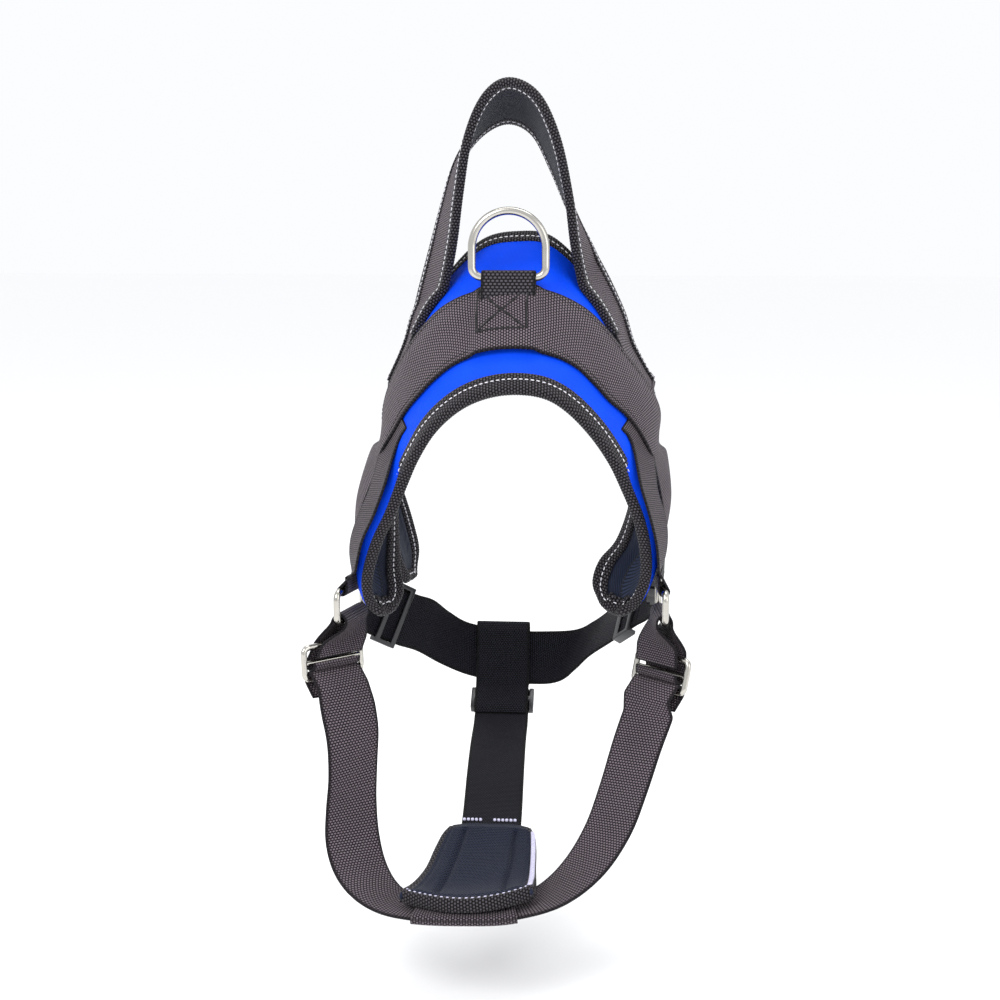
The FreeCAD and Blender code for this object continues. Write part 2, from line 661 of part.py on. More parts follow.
def bar_turn(centre, bar, leg, length, width, turn):
    """Webbing turned round a bar, both legs running along the leg direction."""
    leg = unit(leg - bar * leg.dot(bar))
    face = unit(bar.cross(leg))
    points = [centre + face * turn + leg * length, centre + face * turn + leg * (length / 2)]
    for angle in (0, 30, 60, 90, 120, 150, 180):
        a = math.radians(angle)
        points.append(centre + face * (turn * math.cos(a)) - leg * (turn * math.sin(a)))
    points += [centre - face * turn + leg * (length / 2), centre - face * turn + leg * length]
    return belt(points, bar, width, ANCHOR_THICK)


def tongue_taper(u):
    """The tongue's padding thins towards its tip."""
    return min(1.0, 0.45 + 0.55 * (4.0 - u))


for name, side in SIDES.items():
    ring_centre = V(*side["ring"])
    ring_bar = unit(V(*side["ring_bar"]))
    adjuster_centre = V(*side["adjuster"])
    adjuster_bar = unit(V(*side["adjuster_bar"]))
    anchor_us = spread(side["anchor_start"], side["anchor_end"], 9)
    anchor = layer(saddle, anchor_us, anchor_range, ANCHOR_GAP + ANCHOR_THICK, ANCHOR_GAP, across=4)
    nodes["anchor_webbing_" + name] = anchor
    top_bar = ring_centre + V(0, 0, RING_HALF_HEIGHT)
    nodes["anchor_loop_" + name] = bar_turn(top_bar, ring_bar, V(0, 0, 1), 9.0, 25.0, 3.4)
    ring = rectangle_ring(RING_HALF_LENGTH, RING_HALF_HEIGHT, 5.0, RING_WIRE)
    nodes["side_ring_" + name] = placed(ring, ring_centre, ring_bar, ring_bar.cross(V(0, 0, -1)))
    frame = rectangle_ring(ADJUSTER_HALF_LENGTH, ADJUSTER_HALF_HEIGHT, 4.0, ADJUSTER_WIRE)
    bar = Part.makeCylinder(MIDDLE_BAR, 2 * ADJUSTER_HALF_LENGTH, V(-ADJUSTER_HALF_LENGTH, 0, 0), V(1, 0, 0))
    rise = ring_centre - V(0, 0, RING_HALF_HEIGHT) - adjuster_centre
    rise = unit(rise - adjuster_bar * rise.dot(adjuster_bar))
    frame = placed(frame.fuse(bar), adjuster_centre, adjuster_bar, rise.cross(adjuster_bar))
    nodes["chest_adjuster_" + name] = frame
    nodes["connector_" + name] = connector(side)
    low_bar = adjuster_centre - rise * ADJUSTER_HALF_HEIGHT
    to_strap = V(*CHEST[0 if name == "left" else -1][0]) - low_bar
    nodes["chest_strap_end_" + name] = bar_turn(low_bar, adjuster_bar, to_strap, 9.0, 36.0, 4.3)

    tongue = Sheet(side["tongue"], outward=side["out"])
    tongue_us = spread(0.0, 4.0, 9)
    nodes["girth_tongue_" + name] = layer(tongue, tongue_us, (0.0, 4.0), 0.0, foam_bottom, thin=tongue_taper)
    nodes["girth_tongue_lining_" + name] = layer(
        tongue, tongue_us, (0.0, 4.0), lining_top, lining_bottom, thin=tongue_taper
    )

    top = V(*side["buckle"])
    down = unit(V(*side["buckle_axis"]))
    wide = unit(V(0, 1, 0) - down * down.y)
    for part_name, shape in (
        ("buckle_housing_", buckle_housing()),
        ("buckle_plug_", buckle_plug()),
        ("buckle_prongs_", buckle_prongs()),
        ("buckle_webbing_", web_turn(BAR_END / 2, 8.5, -1.0)),
        ("plug_webbing_", web_turn(PLUG_BAR, 5.5, 1.0)),
    ):
        nodes[part_name + name] = placed(shape, top, wide, down)

    s = side["slider_station"]
    centres = [V(*c) for c, _ in GIRTH]
    travel = unit(through(centres, s + 0.2) - through(centres, s - 0.2))
    across = V(*GIRTH[int(s)][1])
    slider = strap_slider(SLIDER_LENGTH, STRAP_WIDTH, STRAP_THICK)
    nodes["girth_slider_" + name] = placed(slider, through(centres, s), across, travel)

# ---- chest, centre and girth straps ----
nodes["chest_strap"] = strap(CHEST)
keeper_outer = strap(CHEST, STRAP_WIDTH + 5.0, STRAP_THICK + 4.6, 8.0, 10.1)
keeper_inner = strap(CHEST, STRAP_WIDTH + 1.6, STRAP_THICK + 1.6, 7.9, 10.2)
nodes["strap_keeper"] = keeper_outer.cut(keeper_inner)
nodes["centre_strap"] = strap(CENTRE)
centre_slider = strap_slider(SLIDER_LENGTH - 1.0, STRAP_WIDTH, STRAP_THICK)
nodes["centre_slider"] = placed(centre_slider, V(*CENTRE[1][0]), V(1, 0, 0), V(0, -8, -6))
nodes["girth_strap"] = strap(GIRTH)
loop_points = [V(GIRTH_LOOP_X, y, z) for y, z in GIRTH_LOOP]
nodes["girth_loop"] = belt(loop_points, V(1, 0, 0), STRAP_WIDTH, 1.2)

# ---- chest pad ----
pad = Sheet(PAD, outward=-1.0)
pad_us = spread(0.0, 4.0, 9)
PAD_SKIN = 1.2
PAD_FOAM = 4.0
skin_bottom = -PAD_SKIN
pad_foam_top = skin_bottom - LAYER_GAP
pad_foam_bottom = pad_foam_top - PAD_FOAM
cover_top = pad_foam_bottom - LAYER_GAP
cover_bottom = cover_top - PAD_SKIN
nodes["chest_pad_lining"] = layer(pad, pad_us, (0.0, 4.0), 0.0, skin_bottom)
nodes["chest_pad_foam"] = layer(pad, pad_us, (0.0, 4.0), pad_foam_top, pad_foam_bottom)
nodes["chest_pad_cover"] = layer(pad, pad_us, (0.0, 4.0), cover_top, cover_bottom)
nodes["chest_pad_binding"] = loft([
    section(
        [pad.at(4.0, v, 0.2) + pad.along(4.0, v) * r for r in (0.4, 2.4)],
        [pad.at(4.0, v, cover_bottom - 0.2) + pad.along(4.0, v) * r for r in (0.4, 2.4)],
    )
    for v in pad_us
])

os.makedirs("parts", exist_ok=True)
for node_name, shape in nodes.items():
    shape.exportStep("parts/" + node_name + ".step")

if __name__ == "__main__":
    for node_name, shape in nodes.items():
        print(node_name, shape.isValid(), round(shape.Volume), shape.BoundBox)
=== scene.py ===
import math
import random

import bmesh
import bpy
import numpy as np
from mathutils import Matrix, Vector


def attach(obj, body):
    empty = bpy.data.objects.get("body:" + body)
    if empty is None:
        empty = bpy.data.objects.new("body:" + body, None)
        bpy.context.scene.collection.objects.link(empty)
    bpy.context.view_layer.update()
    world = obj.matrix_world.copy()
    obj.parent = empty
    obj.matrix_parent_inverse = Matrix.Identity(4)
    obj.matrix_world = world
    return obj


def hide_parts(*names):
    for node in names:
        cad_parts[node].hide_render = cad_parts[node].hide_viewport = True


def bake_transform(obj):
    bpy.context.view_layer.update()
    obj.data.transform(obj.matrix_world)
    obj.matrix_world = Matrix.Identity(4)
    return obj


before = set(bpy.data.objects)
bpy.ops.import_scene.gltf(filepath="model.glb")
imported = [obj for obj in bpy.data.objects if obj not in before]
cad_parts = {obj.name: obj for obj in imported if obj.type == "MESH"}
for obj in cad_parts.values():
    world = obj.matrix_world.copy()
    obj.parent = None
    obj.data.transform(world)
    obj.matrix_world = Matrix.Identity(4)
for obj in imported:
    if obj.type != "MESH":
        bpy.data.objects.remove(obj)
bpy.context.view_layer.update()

random.seed(7)
noise = np.random.default_rng(7)
MM = 0.001
STRAP_WIDTH = 38.0
PUFF_PRESSURE = 4.0
PUFF_FRAMES = 20
RING_HALF_HEIGHT = 10.0
ADJUSTER_HALF_HEIGHT = 10.5

# ---- the lie of the soft parts, in millimetres ----
# Saddle: one row per rib, left wing tip to right wing tip; across a rib, neck edge to rear edge.
SADDLE_RIBS = [
    [(-85, -9, -189), (-84, -7, -190), (-82, -5, -190), (-80, -3, -190), (-77, -1, -189)],
    [(-91, -16, -180), (-93, -10, -182), (-91, -2, -183), (-84, 5, -183), (-73, 10, -180)],
    [(-92, -22, -163), (-97, -15, -165), (-98, -3, -166), (-93, 11, -166), (-77, 19, -165)],
    [(-84, -29, -137), (-94, -21, -140), (-99, -4, -144), (-95, 15, -146), (-80, 29, -147)],
    [(-74, -33, -116), (-86, -25, -120), (-94, -4, -124), (-93, 18, -126), (-82, 36, -126)],
    [(-66, -35, -96), (-78, -24, -98), (-85, 0, -101), (-86, 28, -102), (-84, 52, -98)],
    [(-59, -36, -80), (-73, -2, -69), (-81, 23, -63), (-86, 48, -58), (-87, 76, -56)],
    [(-48, -37, -63), (-57, -12, -46), (-64, 7, -32), (-69, 28, -21), (-71, 64, -17)],
    [(-33, -38, -49), (-37, -18, -27), (-42, 0, -9), (-46, 18, 7), (-48, 65, 25)],
    [(-16, -39, -40), (-18, -19, -18), (-20, -2, 1), (-22, 15, 19), (-23, 65, 51)],
    [(4, -40, -36), (3, -20, -15), (2, -3, 4), (1, 15, 22), (2, 65, 57)],
    [(25, -40, -38), (24, -19, -17), (24, -2, 2), (23, 15, 20), (25, 65, 53)],
    [(41, -38, -47), (44, -17, -26), (47, 1, -9), (49, 19, 7), (50, 65, 27)],
    [(57, -37, -63), (64, -12, -47), (70, 6, -32), (73, 27, -21), (73, 66, -14)],
    [(69, -35, -80), (82, -3, -67), (90, 20, -62), (95, 45, -59), (94, 72, -54)],
    [(77, -34, -96), (87, -24, -98), (92, 0, -101), (91, 26, -102), (88, 50, -98)],
    [(85, -32, -116), (93, -24, -119), (98, -4, -123), (95, 17, -125), (82, 34, -124)],
    [(90, -28, -137), (96, -20, -140), (98, -4, -144), (92, 13, -146), (73, 24, -146)],
    [(91, -21, -159), (94, -14, -161), (93, -2, -163), (83, 10, -163), (61, 16, -158)],
    [(85, -15, -177), (86, -9, -179), (83, -2, -180), (72, 5, -179), (57, 10, -172)],
    [(75, -7, -187), (73, -5, -188), (71, -3, -188), (68, -1, -187), (64, 2, -185)],
]
# Free ends of the cross webbing below the saddle: front edge, middle, rear edge.
CROSS_TAIL_LEFT = [
    [(-103, 25, -159), (-105, 45, -145), (-104, 65, -131)],
    [(-104, 24, -145), (-107, 46, -131), (-106, 68, -119)],
    [(-100, 23, -125), (-105, 47, -116), (-105, 71, -107)],
    [(-90, 22, -101), (-97, 46, -95), (-99, 71, -90)],
]
CROSS_TAIL_RIGHT = [
    [(96, 21, -102), (102, 44, -96), (102, 69, -90)],
    [(100, 23, -125), (105, 47, -116), (104, 71, -107)],
    [(100, 24, -145), (103, 46, -131), (101, 68, -119)],
    [(96, 25, -159), (98, 45, -145), (97, 65, -131)],
]
# Padded tongues under the free ends, top to tip: front edge to rear edge.
TONGUE_LEFT = [
    [(-92, 55, -110), (-95, 63, -109), (-96, 73, -109), (-95, 86, -109), (-90, 96, -110)],
    [(-89, 55, -128), (-95, 63, -129), (-98, 79, -130), (-95, 96, -130), (-85, 106, -129)],
    [(-86, 62, -150), (-91, 70, -151), (-93, 85, -152), (-89, 100, -152), (-79, 109, -151)],
    [(-83, 68, -170), (-86, 74, -171), (-86, 87, -172), (-82, 100, -172), (-75, 107, -170)],
    [(-77, 80, -187), (-79, 83, -188), (-79, 89, -188), (-77, 94, -188), (-77, 97, -186)],
]
TONGUE_RIGHT = [
    [(91, 55, -110), (93, 63, -109), (95, 73, -109), (94, 86, -109), (90, 96, -110)],
    [(88, 55, -128), (93, 63, -129), (96, 79, -130), (93, 96, -130), (86, 106, -129)],
    [(85, 62, -150), (89, 70, -151), (91, 85, -152), (88, 100, -152), (81, 108, -151)],
    [(82, 68, -170), (85, 74, -171), (85, 87, -172), (82, 99, -172), (77, 105, -170)],
    [(77, 80, -186), (79, 83, -187), (80, 88, -187), (79, 93, -187), (78, 96, -185)],
]
# Handle: left root to right root; front edge, rear edge.
HANDLE = [
    [(-51, 35, 4), (-70, 79, -2)],
    [(-44, 35, 26), (-65, 79, 18)],
    [(-39, 36, 52), (-58, 80, 44)],
    [(-35, 37, 84), (-50, 82, 74)],
    [(-29, 36, 119), (-41, 82, 102)],
    [(-18, 36, 144), (-26, 82, 122)],
    [(-3, 36, 154), (-7, 82, 131)],
    [(15, 36, 145), (11, 82, 123)],
    [(28, 36, 118), (24, 82, 99)],
    [(36, 37, 82), (37, 82, 69)],
    [(40, 36, 51), (50, 81, 44)],
    [(45, 35, 26), (58, 80, 19)],
    [(50, 35, 4), (65, 79, -3)],
]
# Straps: centre line and the direction across the strap.
CHEST = [
    ((-102, -32, -245), (-0.82, -0.57, -0.02)),
    ((-98, -38, -263), (-0.76, -0.65, -0.04)),
    ((-97, -45, -283), (-0.7, -0.71, -0.06)),
    ((-97, -54, -303), (-0.72, -0.69, 0.02)),
    ((-95, -64, -321), (-0.77, -0.63, 0.04)),
    ((-89, -75, -336), (-0.76, -0.64, 0.08)),
    ((-79, -86, -346), (-0.7, -0.7, 0.1)),
    ((-65, -95, -351.5), (-0.48, -0.87, 0.06)),
    ((-47, -101, -352), (-0.18, -0.98, 0.02)),
    ((-19, -103, -351), (0, -1, 0)),
    ((8, -101, -350), (0.16, -0.98, 0.02)),
    ((32, -93, -345.5), (0.48, -0.87, 0.08)),
    ((52, -81, -332), (0.66, -0.74, 0.1)),
    ((67, -66, -312), (0.75, -0.65, 0.12)),
    ((77, -52, -288), (0.78, -0.62, 0.1)),
    ((85, -41, -264), (0.8, -0.59, 0.08)),
    ((92, -32, -245), (0.82, -0.57, 0.05)),
]
CENTRE = [
    ((-14, 138, -280), (1, 0, 0)),
    ((-14, 130, -286), (1, 0, 0)),
    ((-14, 122, -292), (1, 0, 0)),
    ((-13.5, 106, -297), (1, 0, 0)),
    ((-13, 80, -301), (1, 0, 0)),
    ((-12, 52, -305), (1, 0, 0)),
    ((-11, 25, -311), (1, 0, 0)),
    ((-10, -2, -319), (1, 0, 0)),
    ((-9.5, -21, -325), (1, 0, 0)),
]
GIRTH = [
    ((-100.8, 94.8, -209.5), (-0.33, -0.34, -0.88)),
    ((-91, 104, -216), (-0.33, -0.34, -0.88)),
    ((-81.2, 113.2, -222.5), (-0.33, -0.34, -0.88)),
    ((-70, 124, -229), (-0.28, -0.25, -0.92)),
    ((-57, 136, -241), (-0.14, -0.15, -0.98)),
    ((-40, 143, -251), (0.02, -0.13, -0.99)),
    ((-15, 145, -256), (0, -0.15, -0.99)),
    ((10, 144, -257), (0, -0.15, -0.99)),
    ((33, 141, -254), (-0.25, -0.25, -0.93)),
    ((46, 133, -244), (-0.35, -0.4, -0.85)),
    ((57, 123, -232), (-0.35, -0.6, -0.72)),
    ((71, 107, -216.5), (-0.18, -0.74, -0.66)),
    ((79, 98, -208.8), (-0.18, -0.74, -0.66)),
    ((87, 89, -201.1), (-0.18, -0.74, -0.66)),
]
# The loop that hangs the centre strap on the girth strap, in the plane X = GIRTH_LOOP_X.
GIRTH_LOOP_X = -14.5
GIRTH_LOOP = [
    (135.5, -275), (138.3, -267), (139.9, -256), (141.9, -243), (143.2, -236), (147.0, -230.6),
    (151.6, -235.5), (151.3, -243), (149.5, -256), (147.6, -267), (143.8, -277.5),
]
# Chest pad: upper face, rear edge to front edge; across a row, left to right.
PAD = [
    [(-38, -24, -327), (-24, -24, -325), (-9, -24, -325), (6, -24, -325), (18, -25, -327)],
    [(-43, -46, -334), (-26, -46, -332), (-10, -46, -332), (5, -46, -332), (20, -45, -332)],
    [(-47, -68, -340), (-29, -69, -338), (-12, -69, -337), (5, -68, -336), (21, -66, -336)],
    [(-53, -89, -342), (-33, -93, -342), (-15, -94, -341), (3, -92, -339), (22, -87, -337)],
    [(-59, -104, -341), (-36, -116, -340), (-17, -120, -339), (3, -117, -337), (22, -106, -335)],
]
# Side hardware: centre of each ring and adjuster, and the direction of their bars.
SIDES = {
    "left": {
        "out": -1.0,
        "ring": (-104, -6, -181),
        "ring_bar": (-0.25, -0.97, 0),
        "adjuster": (-114, -18, -217),
        "adjuster_bar": (-0.72, -0.69, 0),
        "buckle": (-104, 50, -152),
        "buckle_axis": (0.05, 0.6, -0.8),
        "slider_station": 1.0,
        "anchor_start": 5.15,
        "anchor_end": 2.3,
        "tongue": TONGUE_LEFT,
    },
    "right": {
        "out": 1.0,
        "ring": (100, -5, -178),
        "ring_bar": (0.1, -0.99, 0),
        "adjuster": (100, -17, -221),
        "adjuster_bar": (0.72, -0.69, 0),
        "buckle": (97.5, 50, -152),
        "buckle_axis": (-0.05, 0.6, -0.8),
        "slider_station": 12.0,
        "anchor_start": 14.85,
        "anchor_end": 17.7,
        "tongue": TONGUE_RIGHT,
    },
}


# ---- smooth lines and sheets ----
def through(points, t):
    """Points at t (an array) on a smooth curve through the rows of points."""
    p = np.asarray(points, float)
    t = np.atleast_1d(np.asarray(t, float))
    last = len(p) - 1
    i = np.clip(np.floor(t).astype(int), 0, last - 1)
    f = (t - i).reshape([-1] + [1] * (p.ndim - 1))
    p1 = p[i]
    p2 = p[i + 1]
    p0 = np.where((i > 0).reshape(f.shape), p[np.maximum(i - 1, 0)], 2 * p1 - p2)
    p3 = np.where((i + 2 <= last).reshape(f.shape), p[np.minimum(i + 2, last)], 2 * p2 - p1)
    m1 = (p2 - p0) * 0.5
    m2 = (p3 - p1) * 0.5
    f2 = f * f
    f3 = f2 * f
    return p1 * (2 * f3 - 3 * f2 + 1) + m1 * (f3 - 2 * f2 + f) + p2 * (3 * f2 - 2 * f3) + m2 * (f3 - f2)


def unit(v):
    v = np.asarray(v, float)
    return v / np.maximum(np.linalg.norm(v, axis=-1, keepdims=True), 1e-9)


class Sheet:
    """A smooth surface through rows of points; u counts rows and v counts points in a row."""

    def __init__(self, rows, outward=1.0, reach=0.3):
        self.rows = np.array(rows, float)
        self.outward = outward
        self.reach = reach

    def grid(self, us, vs):
        across = np.stack([through(row, vs) for row in self.rows])
        return through(across, us)

    def axes(self, us, vs):
        r = self.reach
        us = np.asarray(us, float)
        vs = np.asarray(vs, float)
        along = unit(self.grid(us + r, vs) - self.grid(us - r, vs))
        across = unit(self.grid(us, vs + r) - self.grid(us, vs - r))
        return along, across, unit(np.cross(along, across)) * self.outward

    def at(self, us, vs, off=0.0):
        off = np.asarray(off, float)
        if off.ndim == 2:
            off = off[..., None]
        return self.grid(us, vs) + self.axes(us, vs)[2] * off

    def line(self, us, vs, off=0.0):
        """Points and normals along a line of (u, v) pairs."""
        points = []
        normals = []
        for u, v in zip(us, vs):
            points.append(self.at([u], [v], off)[0, 0])
            normals.append(self.axes([u], [v])[2][0, 0])
        return np.array(points), np.array(normals)


def spread(lo, hi, count):
    return np.linspace(lo, hi, count)


def run_length(points):
    steps = np.linalg.norm(np.diff(points, axis=0), axis=-1)
    return np.concatenate([[0.0], np.cumsum(steps)])


def even(points, pitch, *others):
    """A line resampled at an even pitch, with any other rows carried along with it."""
    points = np.asarray(points, float)
    run = run_length(points)
    want = np.linspace(0, run[-1], max(3, int(round(run[-1] / pitch)) + 1))

    def pick(rows):
        rows = np.asarray(rows, float)
        return np.stack([np.interp(want, run, rows[:, k]) for k in range(rows.shape[1])], axis=1)

    return [pick(points)] + [pick(o) for o in others]


def relax(points, times=1):
    p = np.array(points, float)
    for _ in range(times):
        p[1:-1] = (p[:-2] + 4 * p[1:-1] + p[2:]) / 6
    return p


def smoothstep(x):
    x = np.clip(x, 0.0, 1.0)
    return x * x * (3 - 2 * x)


# ---- meshes ----
def mesh_object(name, verts, faces, uvs, material, edge=None):
    """verts in millimetres; uvs one pair per vertex, in metres of cloth."""
    mesh = bpy.data.meshes.new(name)
    mesh.from_pydata([tuple(v) for v in np.asarray(verts, float) * MM], [], faces)
    layer = mesh.uv_layers.new(name="UVMap")
    uvs = np.asarray(uvs, float)
    loops = np.empty(len(mesh.loops), int)
    mesh.loops.foreach_get("vertex_index", loops)
    layer.data.foreach_set("uv", uvs[loops].astype(np.float32).ravel())
    mesh.polygons.foreach_set("use_smooth", [True] * len(mesh.polygons))
    # painted shade: each vertex's distance from the cloth's side edge, which the webbing material turns into
    # a darker colour near the edges
    edge_shade_distance = mesh.attributes.new("edge_shade_distance", "FLOAT", "POINT")
    away = np.full(len(verts), 0.05) if edge is None else np.asarray(edge, float)
    edge_shade_distance.data.foreach_set("value", away.astype(np.float32))
    mesh.materials.append(material)
    obj = bpy.data.objects.new(name, mesh)
    bpy.context.scene.collection.objects.link(obj)
    work = bmesh.new()
    work.from_mesh(mesh)
    bmesh.ops.recalc_face_normals(work, faces=work.faces)
    work.to_mesh(mesh)
    work.free()
    mesh.update()
    return obj


def grid_normals(grid):
    return unit(np.cross(np.gradient(grid, axis=0), np.gradient(grid, axis=1)))


def slab(name, mid, normals, top, bottom, material, bulge=0.45):
    """A closed sheet of cloth between two offsets from mid; its four sides are rounded."""
    nu, nv = mid.shape[:2]
    top = np.broadcast_to(np.asarray(top, float), (nu, nv))[..., None]
    bottom = np.broadcast_to(np.asarray(bottom, float), (nu, nv))[..., None]
    upper = mid + normals * top
    lower = mid + normals * bottom
    run_u = np.concatenate([[0.0], np.cumsum(np.linalg.norm(np.diff(mid, axis=0), axis=-1).mean(axis=1))])
    run_v = np.concatenate([[0.0], np.cumsum(np.linalg.norm(np.diff(mid, axis=1), axis=-1).mean(axis=0))])
    run_v = run_v - run_v[-1] / 2
    uv = np.stack(np.meshgrid(run_v, run_u), axis=-1).reshape(-1, 2) * MM
    # distance from the side edges, which the webbing material uses for painted shade along the edges
    away = np.broadcast_to((run_v[-1] - np.abs(run_v))[None, :] * MM, (nu, nv)).ravel()
    n = nu * nv
    index = np.arange(n).reshape(nu, nv)
    ring = list(index[:, 0]) + list(index[-1, 1:]) + list(index[-2::-1, -1]) + list(index[0, -2:0:-1])
    flat_mid = ((upper + lower) / 2).reshape(-1, 3)
    thick = (top - bottom).reshape(-1)
    out = np.zeros((nu, nv, 3))
    out[0] += mid[0] - mid[1]
    out[-1] += mid[-1] - mid[-2]
    side = np.zeros((nu, nv, 3))
    side[:, 0] = unit(mid[:, 0] - mid[:, 1])
    side[:, -1] = unit(mid[:, -1] - mid[:, -2])
    out = unit(unit(out) + side).reshape(-1, 3)
    rim = [flat_mid[k] + out[k] * thick[k] * bulge for k in ring]
    verts = np.concatenate([upper.reshape(-1, 3), lower.reshape(-1, 3), np.array(rim)])
    uvs = np.concatenate([uv, uv, uv[ring]])
    a = index[:-1, :-1].ravel()
    b = index[1:, :-1].ravel()
    c = index[1:, 1:].ravel()
    d = index[:-1, 1:].ravel()
    faces = [tuple(int(x) for x in f) for f in np.stack([a, b, c, d], axis=1)]
    faces += [tuple(int(x) for x in f) for f in np.stack([d, c, b, a], axis=1) + n]
    count = len(ring)
    for k in range(count):
        p, q = int(ring[k]), int(ring[(k + 1) % count])
        r, s = 2 * n + k, 2 * n + (k + 1) % count
        faces.append((p, q, s, r))
        faces.append((r, s, q + n, p + n))
    return mesh_object(name, verts, faces, uvs, material, np.concatenate([away, away, away[ring]]))


def strap_grid(stations, width, pitch=2.4, columns=9, evened=False, smooth=0):
    centres = np.array([c for c, _ in stations], float)
    acrosses = np.array([w for _, w in stations], float)
    last = len(stations) - 1.0
    if evened:
        line, across = even(centres, 0.8, acrosses)
        line = relax(line, 3)
        across = relax(across, smooth)
    else:
        ts = spread(0.0, last, 40 * len(stations))
        line = through(centres, ts)
        across = through(acrosses, ts)
    line, across = even(line, pitch, across)
    across = unit(across)
    xs = spread(-width / 2, width / 2, columns)
    return line[:, None, :] + across[:, None, :] * xs[None, :, None]


def waver(grid, normals, size, wave=34.0):
    """A slow unevenness of cloth, in and out of its face."""
    shift = noise.uniform(0, 6.28, 3)
    x, y, z = grid[..., 0], grid[..., 1], grid[..., 2]
    amount = np.sin(x / wave * 2.1 + y / wave + shift[0]) + np.sin(y / wave * 1.7 - z / wave * 2.3 + shift[1])
    amount += np.sin(z / wave * 3.1 + x / wave * 0.6 + shift[2])
    return grid + normals * (amount * size / 3)[..., None]


def webbing(name, grid, thick, material, uneven=0.25):
    normals = grid_normals(grid)
    grid = waver(grid, normals, uneven)
    return slab(name, grid, normals, thick / 2, -thick / 2, material)


def profile_run(name, points, outs, normals, profile, material, beads=None, size=0.22):
    """A closed profile of (out, normal) pairs carried along a line, with woven beads across it."""
    points, outs, normals = even(points, 0.5 if beads else 2.0, outs, normals)
    outs = unit(outs)
    normals = unit(normals)
    prof = np.array(profile, float)
    k = len(prof)
    tangent = np.roll(prof, -1, axis=0) - np.roll(prof, 1, axis=0)
    face = unit(np.stack([tangent[:, 1], -tangent[:, 0]], axis=1))
    centre = prof.mean(axis=0)
    if ((prof - centre) * face).sum() < 0:
        face = -face
    girth = run_length(prof)
    run = run_length(points)
    if beads:
        rope = np.abs(np.sin(math.pi * (run[:, None] / beads + girth[None, :] / (beads * 2.4))))
        rope = size * (rope - 0.4)
    else:
        rope = np.zeros((len(points), k))
    section = prof[None] + face[None] * rope[..., None]
    verts = points[:, None] + outs[:, None] * section[..., :1] + normals[:, None] * section[..., 1:]
    size_2d = (len(points), k)
    uvs = np.stack([np.broadcast_to(girth, size_2d), np.broadcast_to(run[:, None], size_2d)], -1)
    faces = []
    for i in range(len(points) - 1):
        for j in range(k):
            m = (j + 1) % k
            faces.append((i * k + j, i * k + m, (i + 1) * k + m, (i + 1) * k + j))
    faces.append(tuple(range(k)))
    faces.append(tuple((len(points) - 1) * k + j for j in range(k)))
    return mesh_object(name, verts.reshape(-1, 3), faces, uvs.reshape(-1, 2) * MM, material)


def binding_profile(arm, top, low, nose=2.0, thick=0.95):
    """Tape folded over an edge: from the end of one arm, round the nose, to the end of the other."""
    mid = (top + low) / 2
    half = (top - low) / 2 + thick
    pts = [(-arm, top + 0.1), (-arm + 0.5, top + thick)]
    pts += [(-arm * f, top + thick * (1.0 if abs(f - 0.5) > 0.15 else 0.72)) for f in (0.75, 0.5, 0.25)]
    for angle in (80, 50, 20, -20, -50, -80):
        a = math.radians(angle)
        pts.append((nose * math.cos(a), mid + half * math.sin(a)))
    pts += [(-arm * f, low - thick * (1.0 if abs(f - 0.5) > 0.15 else 0.72)) for f in (0.25, 0.5, 0.75)]
    pts += [(-arm + 0.5, low - thick), (-arm, low - 0.1), (-arm + 0.8, mid)]
    return pts


def stitches(name, points, normals, material, pitch=3.6, length=2.3, width=0.8, height=0.42):
    """Separate thread stitches laid along a line, each a small rounded bead of thread."""
    points, normals = even(points, 0.4, normals)
    run = run_length(points)
    normals = unit(normals)
    verts = []
    faces = []
    uvs = []
    around = 8
    stations = [(-0.5, 0.3), (-0.38, 0.85), (0.0, 1.0), (0.38, 0.85), (0.5, 0.3)]
    s = pitch * 0.4
    while s < run[-1] - pitch * 0.4:
        base = len(verts)
        tilt = random.uniform(-0.12, 0.12)
        for f, size in stations:
            at = np.clip(s + f * length, 0, run[-1])
            c = np.array([np.interp(at, run, points[:, k]) for k in range(3)])
            n = unit(np.array([np.interp(at, run, normals[:, k]) for k in range(3)]))
            ahead = np.array([np.interp(min(at + 0.5, run[-1]), run, points[:, k]) for k in range(3)])
            behind = np.array([np.interp(max(at - 0.5, 0), run, points[:, k]) for k in range(3)])
            t = unit(ahead - behind)
            side = unit(np.cross(n, t))
            c = c + side * (f * tilt * length)
            for m in range(around):
                a = 2 * math.pi * m / around
                verts.append(c + side * (math.cos(a) * width / 2 * size) + n * (math.sin(a) * height * size))
                uvs.append((0.0, at * MM))
        for r in range(len(stations) - 1):
            for m in range(around):
                q = (m + 1) % around
                near, far = base + r * around, base + (r + 1) * around
                faces.append((near + m, near + q, far + q, far + m))
        faces.append(tuple(base + m for m in range(around)))
        faces.append(tuple(base + (len(stations) - 1) * around + m for m in range(around)))
        s += pitch * random.uniform(0.96, 1.04)
    return mesh_object(name, np.array(verts), faces, np.array(uvs), material)


